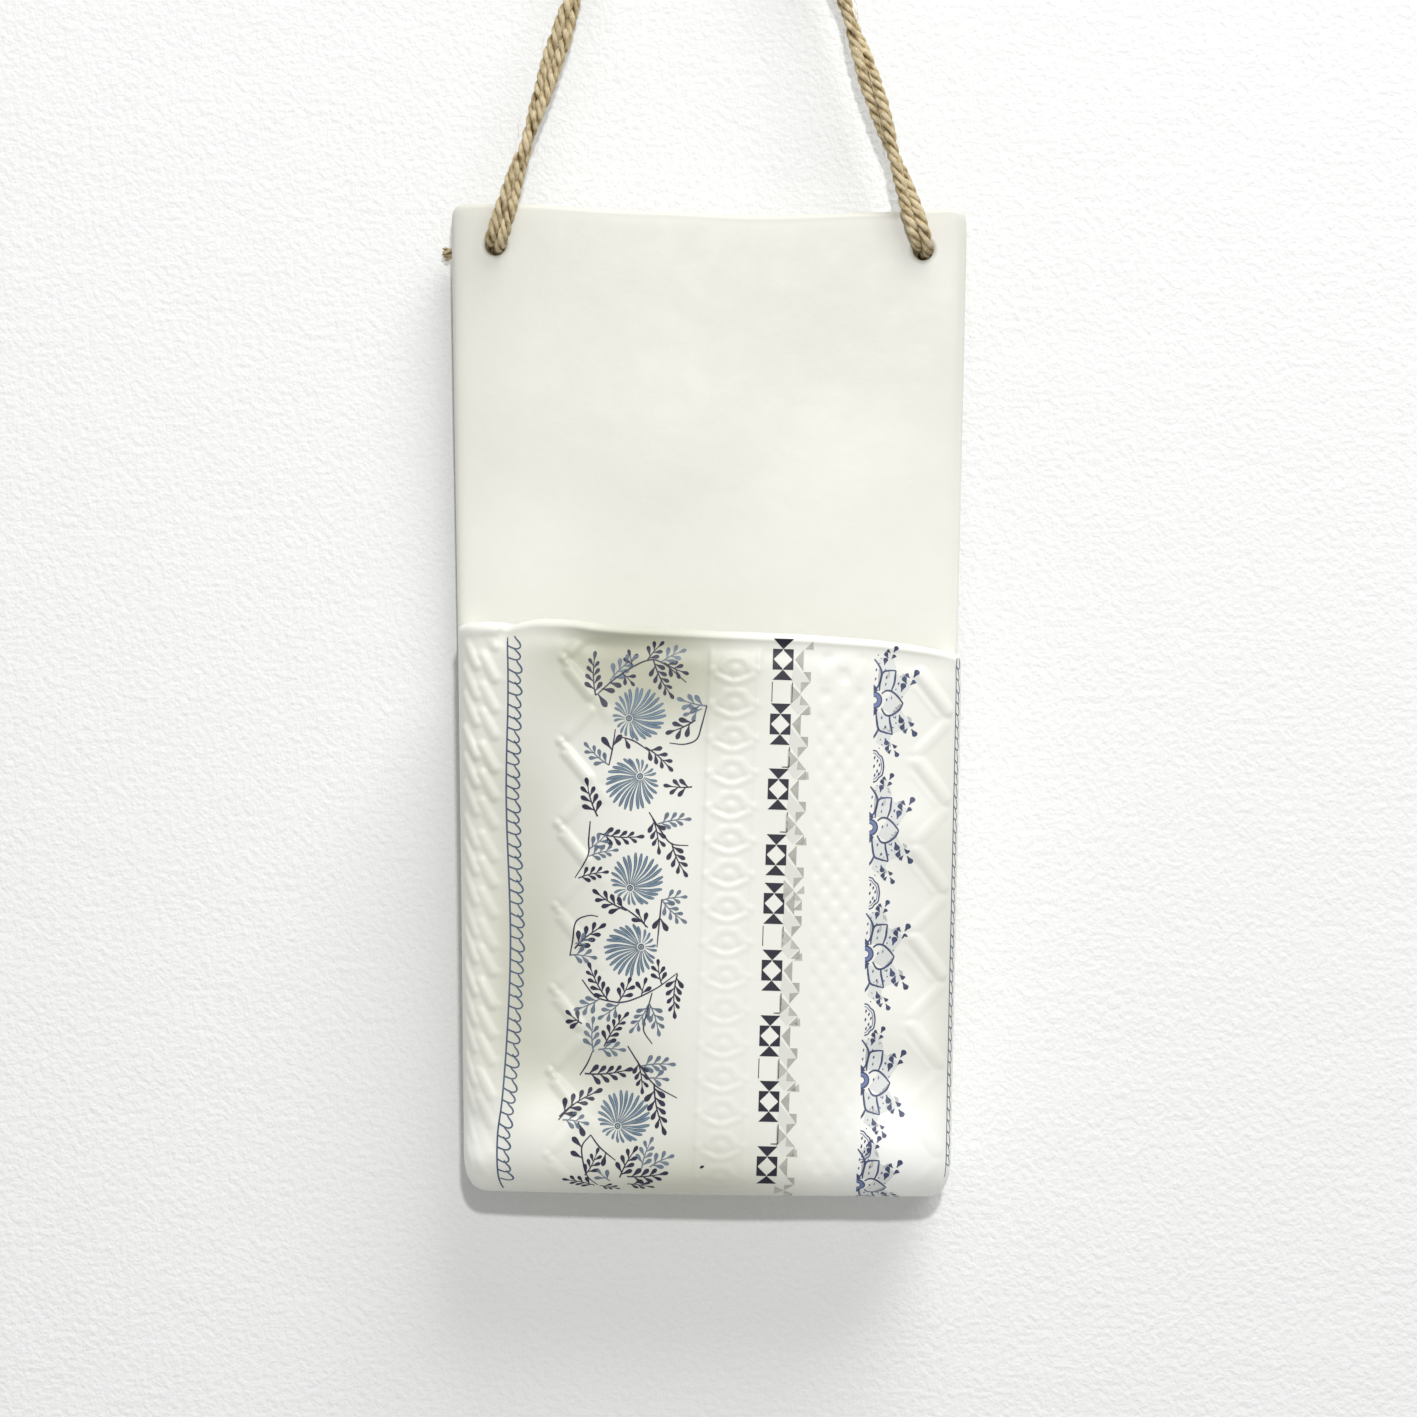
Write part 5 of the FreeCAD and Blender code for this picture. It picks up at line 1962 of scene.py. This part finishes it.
@dataclass
class Rope:
    """The jute rope from knot to knot over the hook."""

    route: tuple[tuple[float, float, float], ...] = (
        (-0.0533, -0.0109, -0.1549),
        (-0.0533, -0.0163, -0.15515),
        (-0.0523, -0.0195, -0.1520),
        (-0.04394, -0.01754, -0.12535),
        (-0.0117, -0.00996, -0.02255),
        (-0.00335, -0.0080, 0.0041),
        (0.00335, -0.0080, 0.0041),
        (0.01183, -0.00995, -0.0225),
        (0.04502, -0.01755, -0.1266),
        (0.0535, -0.0195, -0.1532),
        (0.0545, -0.01625, -0.15635),
        (0.0545, -0.01085, -0.1561),
    )
    diameter: float = 4.6
    length: float = 353.5
    lay: Lay = Lay()
    phase: float = 1.92

    def centreline(self) -> Array:
        """The points of the route's smooth line, in metres."""
        data = bpy.data.curves.new("rope_route", "CURVE")
        data.dimensions = "3D"
        data.resolution_u = 24
        spline = data.splines.new("NURBS")
        spline.points.add(len(self.route) - 1)
        for point, place in zip(spline.points, self.route):
            point.co = (*place, 1.0)
        spline.order_u = 3
        spline.use_endpoint_u = True
        holder = bpy.data.objects.new("rope_route", data)
        bpy.context.scene.collection.objects.link(holder)
        bpy.context.view_layer.update()
        line = bpy.data.meshes.new_from_object(holder)
        points = np.array([vertex.co for vertex in line.vertices])
        bpy.data.objects.remove(holder)
        return points

    def build(self, path: Array, finish: Finish) -> Piece:
        """Model the rope.

        Args:
            path: Its smooth line.
            finish: Its jute.
        Returns:
            The rope, in place of its node.
        """
        rope = StrandWork(self.lay).model("jute_rope", path, self.phase, spread=self._drawn_in,
                                          loosen=self._drawn_in)
        return Bench.dress(rope, finish, Slot.JUTE, Body.VASE, ["hanging_rope"])

    @staticmethod
    def _drawn_in(share: Array) -> Array:
        """How far the plies and strands are drawn together where the rope passes its holes."""
        return 1 - 0.2 * np.clip(1 - np.minimum(share, 1 - share) / 0.016, 0, 1) ** 0.6

    def declare(self, with_pieces: Sequence[Piece]) -> None:
        """Work out the rope's length in metres, without keeping it."""
        self.length * MM


class StrandWork:
    """Lays strands round a line and makes their mesh."""

    def __init__(self, lay: Lay, seed: int = 7) -> None:
        """Take the lay and a seed for its small irregularities."""
        self.lay = lay
        self.random = random.Random(seed)

    @staticmethod
    def even(path: Array, step: float, closed: bool = False) -> Array:
        """The path's points at an even step, in the path's own unit."""
        points = np.vstack([path, path[:1]]) if closed else path
        runs = np.linalg.norm(np.diff(points, axis=0), axis=1)
        along = np.concatenate([[0], np.cumsum(runs)])
        count = max(4, round(along[-1] / step))
        places = np.linspace(0, along[-1], count + 1)
        if closed:
            places = places[:-1]
        return np.column_stack([np.interp(places, along, points[:, axis]) for axis in range(3)])

    @staticmethod
    def frames(points: Array, closed: bool = False) -> tuple[Array, Array]:
        """Two crosswise directions along a line, turning as little as they can.

        Args:
            points: The line.
            closed: Whether its end meets its start.
        Returns:
            The two directions at each point.
        """
        if closed:
            tangents = np.roll(points, -1, axis=0) - np.roll(points, 1, axis=0)
        else:
            tangents = np.gradient(points, axis=0)
        tangents /= np.linalg.norm(tangents, axis=1, keepdims=True)
        seed = np.array([0.0, 1.0, 0.0]) if abs(tangents[0][1]) < 0.9 else np.array([0.0, 0.0, 1.0])
        first = np.cross(tangents[0], seed)
        first /= np.linalg.norm(first)
        sides = [first]
        for tangent in tangents[1:]:
            side = sides[-1] - tangent * np.dot(sides[-1], tangent)
            sides.append(side / np.linalg.norm(side))
        sides = np.array(sides)
        if closed:
            end = sides[-1] - tangents[0] * np.dot(sides[-1], tangents[0])
            end /= np.linalg.norm(end)
            twist = math.atan2(np.dot(np.cross(end, sides[0]), tangents[0]), np.dot(end, sides[0]))
            angles = twist * np.arange(len(points)) / len(points)
            others = np.cross(tangents, sides)
            sides = sides * np.cos(angles)[:, None] + others * np.sin(angles)[:, None]
        return sides, np.cross(tangents, sides)

    @staticmethod
    def wind(points: Array, radius: Array, angle: Array, closed: bool = False) -> Array:
        """A line that winds round another one."""
        side, other = StrandWork.frames(points, closed)
        return points + (side * np.cos(angle)[:, None] + other * np.sin(angle)[:, None]) * radius[:, None]

    def model(self, title: str, path: Array, phase: float = 0.0, closed: bool = False,
              spread: Callable[[Array], Array] | None = None,
              loosen: Callable[[Array], Array] | None = None) -> Piece:
        """Model a laid rope along a path in metres.

        Args:
            title: The name of the new piece.
            path: The rope's line.
            phase: The turn of the plies at the start, in radians.
            closed: Whether the line is a ring.
            spread: A factor on the plies' distance from the line, by share of the length.
            loosen: A factor on the strands' distance from their ply's line, by share of the length.
        Returns:
            The new piece.
        """
        lay = self.lay
        line = self.even(path / MM, lay.step, closed)
        share = np.arange(len(line)) / (len(line) if closed else len(line) - 1)
        length = np.linalg.norm(np.diff(line, axis=0), axis=1).sum()
        turns = length / lay.ply_pitch
        if closed:
            turns = max(1, round(turns))
        drift = lay.drift * np.sin(share * length / 31 + self.random.uniform(0, 6)) * (0 if closed else 1)
        angle = phase + 2 * math.pi * turns * share + drift
        out = np.full(len(line), lay.ply_out) * (spread(share) if spread else 1.0)
        verts: list[Array] = []
        faces: list[tuple[int, ...]] = []
        lays: list[Array] = []
        hollows: list[Array] = []
        for ply in range(2):
            ply_line = self.wind(line, out, angle + ply * math.pi, closed)
            for strand in range(lay.strands):
                points, lay_values, hollow = self._strand(ply_line, share, length, (ply, strand), closed,
                                                          loosen)
                base = sum(len(v) for v in verts)
                verts.append(points.reshape(-1, 3))
                lays.append(lay_values.reshape(-1, 3))
                hollows.append(hollow.ravel())
                faces += self.tube_faces(len(points), lay.ring, base, closed)
        piece = Bench.mesh(title, np.concatenate(verts) * MM, faces)
        grain = piece.data.attributes.new("lay", "FLOAT_VECTOR", "POINT")
        grain.data.foreach_set("vector", np.concatenate(lays).ravel())
        depth = piece.data.attributes.new("hollow", "FLOAT", "POINT")
        depth.data.foreach_set("value", np.concatenate(hollows).ravel())
        Bench.outward(piece)
        Bench.smooth(piece)
        return piece

    def _strand(self, ply_line: Array, share: Array, length: float, number: tuple[int, int], closed: bool,
                loosen: Callable[[Array], Array] | None) -> tuple[Array, Array, Array]:
        """Lay one strand.

        Args:
            ply_line: The line of its ply.
            share: The share of the rope's length at each point of that line.
            length: The rope's length.
            number: Which ply it is in, and which strand of the ply it is.
            closed: Whether the line is a ring.
            loosen: A factor on its distance from the ply's line, by share of the length.
        Returns:
            The points of its rings, their places along the lay, and how deep each lies in the rope.
        """
        lay = self.lay
        ply, strand = number
        turns = length / lay.strand_pitch
        if closed:
            turns = round(turns)
        wobble = 0.0 if closed else lay.wobble * np.sin(share * length / 9.0 + self.random.uniform(0, 6))
        winding = -2 * math.pi * turns * share + 2 * math.pi * strand / lay.strands + ply + wobble
        away = np.full(len(share), lay.strand_out) * (loosen(share) if loosen else 1.0)
        centre = self.wind(ply_line, away, winding, closed)
        ring = np.linspace(0, 2 * math.pi, lay.ring, endpoint=False)
        along = share * length
        thick = lay.strand_radius * (1 + 0.1 * np.sin(along / 3.1 + self.random.uniform(0, 6))
                                     + 0.07 * np.sin(along / 0.9 + self.random.uniform(0, 6)))
        reach = thick[:, None] * (1 + lay.ridge * np.cos(3 * ring[None, :] - along[:, None] * 1.1))
        if not closed:
            ends = np.clip(np.minimum(along, length - along) / 0.7, 0, 1) ** 0.5
            reach = reach * np.maximum(ends, 0.12)[:, None]
        points = self.shell(centre, *self.frames(centre, closed), reach, ring)
        lay_values = np.stack(np.broadcast_arrays(
            0.6 * np.cos(ring)[None, :] + 10.0 * (ply * lay.strands + strand),
            0.6 * np.sin(ring)[None, :], 0.09 * along[:, None]), axis=-1)
        outward = np.linalg.norm(points - ply_line[:, None, :], axis=-1)
        return points, lay_values, 1 - np.clip(outward / (lay.strand_out + lay.strand_radius), 0, 1)

    @staticmethod
    def shell(centre: Array, side: Array, other: Array, reach: Array, ring: Array) -> Array:
        """The rings of a tube.

        Args:
            centre: The tube's line.
            side: One crosswise direction at each of its points.
            other: The other crosswise direction.
            reach: The radius, by point of the line and angle of the ring.
            ring: The ring's angles.
        Returns:
            The points, by point of the line and angle of the ring.
        """
        round_x, round_y = np.cos(ring)[None, :, None], np.sin(ring)[None, :, None]
        outward = side[:, None, :] * round_x + other[:, None, :] * round_y
        return centre[:, None, :] + outward * reach[..., None]

    @staticmethod
    def tube_faces(stations: int, ring: int, base: int, closed: bool) -> list[tuple[int, ...]]:
        """The faces of a tube, with its ends capped where it is open."""
        faces: list[tuple[int, ...]] = []
        last = stations if closed else stations - 1
        for station in range(last):
            following = (station + 1) % stations
            for k in range(ring):
                turn = (k + 1) % ring
                faces.append((base + station * ring + k, base + station * ring + turn,
                              base + following * ring + turn, base + following * ring + k))
        if not closed:
            faces.append(tuple(base + k for k in reversed(range(ring))))
            faces.append(tuple(base + (stations - 1) * ring + k for k in range(ring)))
        return faces


@dataclass
class Fuzz:
    """Loose fibres that stand off the rope."""

    path: Array
    count: int = 130
    radius: float = 0.075
    skin: float = 2.15
    # the two long ones: start and run along the rope, turn round it, and how far they stand off
    long_fibres: tuple[tuple[int, int, float, float], ...] = ((262, 11, 3.3, 1.9), (52, 9, 0.4, 1.7))
    seed: int = 11

    def build(self, finish: Finish) -> Piece:
        """Model the fibres as one piece."""
        draw = random.Random(self.seed)
        line = StrandWork.even(self.path / MM, 1.0)
        side, other = StrandWork.frames(line)
        fibres = [(draw.randrange(12, len(line) - 24), draw.randint(3, 8), draw.uniform(0, 6.3),
                   draw.uniform(0.3, 1.3)) for _ in range(self.count)]
        verts: list[Array] = []
        faces: list[tuple[int, ...]] = []
        share = np.linspace(0, 1, 7)
        ring = np.linspace(0, 2 * math.pi, 3, endpoint=False)
        for start, span, turn, lift in fibres + list(self.long_fibres):
            at = start + span * share
            middle, first, second = (np.column_stack([np.interp(at, np.arange(len(line)), row[:, axis])
                                                      for axis in range(3)]) for row in (line, side, other))
            angle = (turn + draw.uniform(-0.9, 0.9) * share)[:, None]
            away = self.skin + lift * np.sin(math.pi * share * draw.uniform(0.55, 1.0))[:, None]
            centre = middle + (first * np.cos(angle) + second * np.sin(angle)) * away
            thick = self.radius * (1.1 - 0.6 * share)[:, None]
            faces += StrandWork.tube_faces(len(share), len(ring), sum(len(v) for v in verts), False)
            verts.append(StrandWork.shell(centre, first, second, thick, ring).reshape(-1, 3))
        piece = Bench.mesh("rope_fibres", np.concatenate(verts) * MM, faces)
        Bench.outward(piece)
        Bench.smooth(piece)
        return Bench.dress(piece, finish, Slot.JUTE, Body.VASE)


@dataclass
class StopperKnot:
    """An overhand knot behind the slab, with its frayed tail."""

    side: str
    hang: Hang
    hole: Place
    tail_way: float
    tail_reach: float
    tail_fall: float
    depth: float = 10.5
    width: float = 12.4
    seed: int = 3

    def build(self, finish: Finish) -> list[Piece]:
        """Model the knot and its tail.

        Args:
            finish: Their jute.
        Returns:
            The knot and the tail, in place of their nodes.
        """
        knot_lay = Lay(ply_out=0.95, ply_pitch=30.0, strand_out=0.52, strand_radius=0.5, strand_pitch=9.0)
        turn = np.linspace(0, 2 * math.pi, 160, endpoint=False)
        tube = knot_lay.ply_out + knot_lay.strand_out + knot_lay.strand_radius
        flat = (self.width / 2 - tube) / 3
        deep = self.depth / 2 - tube - 0.1
        loop = np.column_stack([
            flat * (np.sin(turn) + 2 * np.sin(2 * turn)),
            self.depth / 2 - deep * np.sin(3 * turn),
            flat * (np.cos(turn) - 2 * np.cos(2 * turn))])
        loop[:, 0] += self.hole[0]
        loop[:, 2] += self.hole[1]
        work = StrandWork(knot_lay, self.seed)
        knot = work.model(f"{self.side}_stopper_knot", loop * MM, closed=True)
        Bench.settle(knot, self.hang.matrix())
        Bench.dress(knot, finish, Slot.JUTE, Body.VASE, [f"{self.side}_knot"])
        return [knot, self._tail(finish)]

    def _tail(self, finish: Finish) -> Piece:
        """The cut end of the rope, fraying where it was cut."""
        start = self.hang.place(self.hole[0], self.depth / 2, self.hole[1])
        fall = math.radians(self.tail_fall)
        heading = Vector((self.tail_way * math.cos(fall), 0, -math.sin(fall)))
        reach = (self.tail_reach - 1.2) * MM
        share = np.linspace(0, 1, 12)
        path = np.array([start + heading * reach * t + Vector((0, 0, -0.0006 * t * t)) for t in share])
        lay = Lay(ply_out=1.05, ply_pitch=60.0, strand_out=0.6, strand_radius=0.52)
        work = StrandWork(lay, self.seed + 20)
        tail = work.model(f"{self.side}_rope_tail", path, phase=0.6,
                          spread=lambda s: 1 + 0.25 * np.clip((s - 0.55) / 0.45, 0, 1) ** 2,
                          loosen=lambda s: 1 + 0.5 * np.clip((s - 0.6) / 0.4, 0, 1) ** 2)
        return Bench.dress(tail, finish, Slot.JUTE, Body.VASE, [f"{self.side}_tail"])


@dataclass(frozen=True)
class WallHook:
    """The brass hook, kept in the shape that the frame gives it."""

    node: str = "wall_hook"

    def dress(self, finish: Finish) -> None:
        """Give the hook its brass."""
        hook = frame["nodes"][self.node]
        hook.data.materials.clear()
        hook.data.materials.append(finish)
        LOG.info("%s: kept as built, on body %s", self.node, Body.HOOK.value)


# ---- the studio

@dataclass(frozen=True)
class Lamp:
    """A square area lamp that looks at the vase."""

    title: str
    place: tuple[float, float, float]
    side: float
    power: float
    aim: tuple[float, float, float] = (0.0, 0.0, -0.29)

    def build(self) -> None:
        """Hang the lamp in the room."""
        data = bpy.data.lights.new(self.title, "AREA")
        data.shape = "SQUARE"
        data.size = self.side
        data.energy = self.power
        lamp = bpy.data.objects.new(self.title, data)
        lamp.location = self.place
        lamp.rotation_euler = (Vector(self.aim) - Vector(self.place)).to_track_quat("-Z", "Y").to_euler()
        bpy.context.scene.collection.objects.link(lamp)


@dataclass
class Studio:
    """The plastered wall, the camera, a small lamp near it, a soft window at the upper right, and the sky."""

    camera_place: tuple[float, float, float] = (0.0004, -0.913, -0.2718)
    lens: float = 90.55
    wall_side: float = 3.0
    wall_middle: tuple[float, float, float] = (0.0, 0.0, -0.27)
    lamps: tuple[Lamp, ...] = (
        Lamp("key", (0.055, -1.15, -0.02), 0.035, 5.2), Lamp("window", (0.62, -0.98, 1.62), 1.3, 35.0))
    sky: float = 0.37

    def build(self) -> None:
        """Make the camera, the wall and the lights."""
        self._camera()
        self._wall()
        for lamp in self.lamps:
            lamp.build()
        self._world()

    def _camera(self) -> None:
        """The level camera in front of the vase."""
        data = bpy.data.cameras.new("camera")
        data.lens = self.lens
        data.sensor_width = 36.0
        camera = bpy.data.objects.new("camera", data)
        camera.location = self.camera_place
        camera.rotation_euler = (math.radians(90), 0, 0)
        bpy.context.scene.collection.objects.link(camera)
        bpy.context.scene.camera = camera

    def _wall(self) -> None:
        """The wall behind the vase."""
        Bench.clear()
        bpy.ops.mesh.primitive_plane_add(size=self.wall_side, rotation=(math.radians(90), 0, 0))
        wall = Bench.name("plaster_wall")
        wall.location = self.wall_middle
        Bench.settle(wall)
        wall.data.materials.append(Plaster().material())

    def _world(self) -> None:
        """An even, faintly warm sky, shown as it is."""
        world = bpy.data.worlds.new("studio")
        world.use_nodes = True
        background = world.node_tree.nodes["Background"]
        background.inputs["Color"].default_value = (1.0, 1.0, 0.99, 1)
        background.inputs["Strength"].default_value = self.sky
        bpy.context.scene.world = world
        bpy.context.scene.view_settings.view_transform = "Standard"


# ---- the whole

@dataclass(frozen=True)
class WallVase:
    """The whole vase: its clay, its prints, its rope and its hook."""

    palette: Palette = Palette()
    hang: Hang = Hang()
    outline: Outline = Outline()
    hand_cut: Outline = Outline(left_foot=61.4, left_top=64.6, left_height=248.4, right_height=247.4)

    def build(self) -> None:
        """Build every piece."""
        BackSlab(self.hang, self.hand_cut).build(self.palette.plain.material())
        pocket = FrontPocket(self.hang, self.outline)
        pocket.build(self.palette.glazed.material())
        self._print(pocket)
        self._string()
        WallHook().dress(self.palette.brass.material())

    def _print(self, pocket: FrontPocket) -> None:
        """Print the bands on the pocket."""
        inks = self.palette
        indigo, slate, blue = inks.indigo.material(), inks.slate.material(), inks.blue.material()
        LoopBorders(pocket).build(inks.border.material())
        FloralBand(pocket).build(indigo, slate, blue)
        Patchwork(pocket).build(inks.patchwork.material(), inks.pinwheel.material())
        LotusBand(pocket).build(inks.lotus.material(), inks.lotus_wash.material())

    def _string(self) -> None:
        """Lay the rope, with its knots, tails and loose fibres."""
        jute = self.palette.jute.material()
        maker = Rope()
        path = maker.centreline()
        rope = maker.build(path, jute)
        knots = (StopperKnot("left", self.hang, LEFT_HOLE, -1.0, 15.2, 4.0).build(jute)
                 + StopperKnot("right", self.hang, RIGHT_HOLE, 1.0, 20.0, 68.0, seed=5).build(jute))
        maker.declare([*knots, Fuzz(path).build(jute)])


def main() -> None:
    """Build the studio and the vase."""
    logging.basicConfig(level=logging.INFO, format="%(name)s: %(message)s")
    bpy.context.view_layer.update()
    Studio().build()
    WallVase().build()


if __name__ == "__main__":
    main()
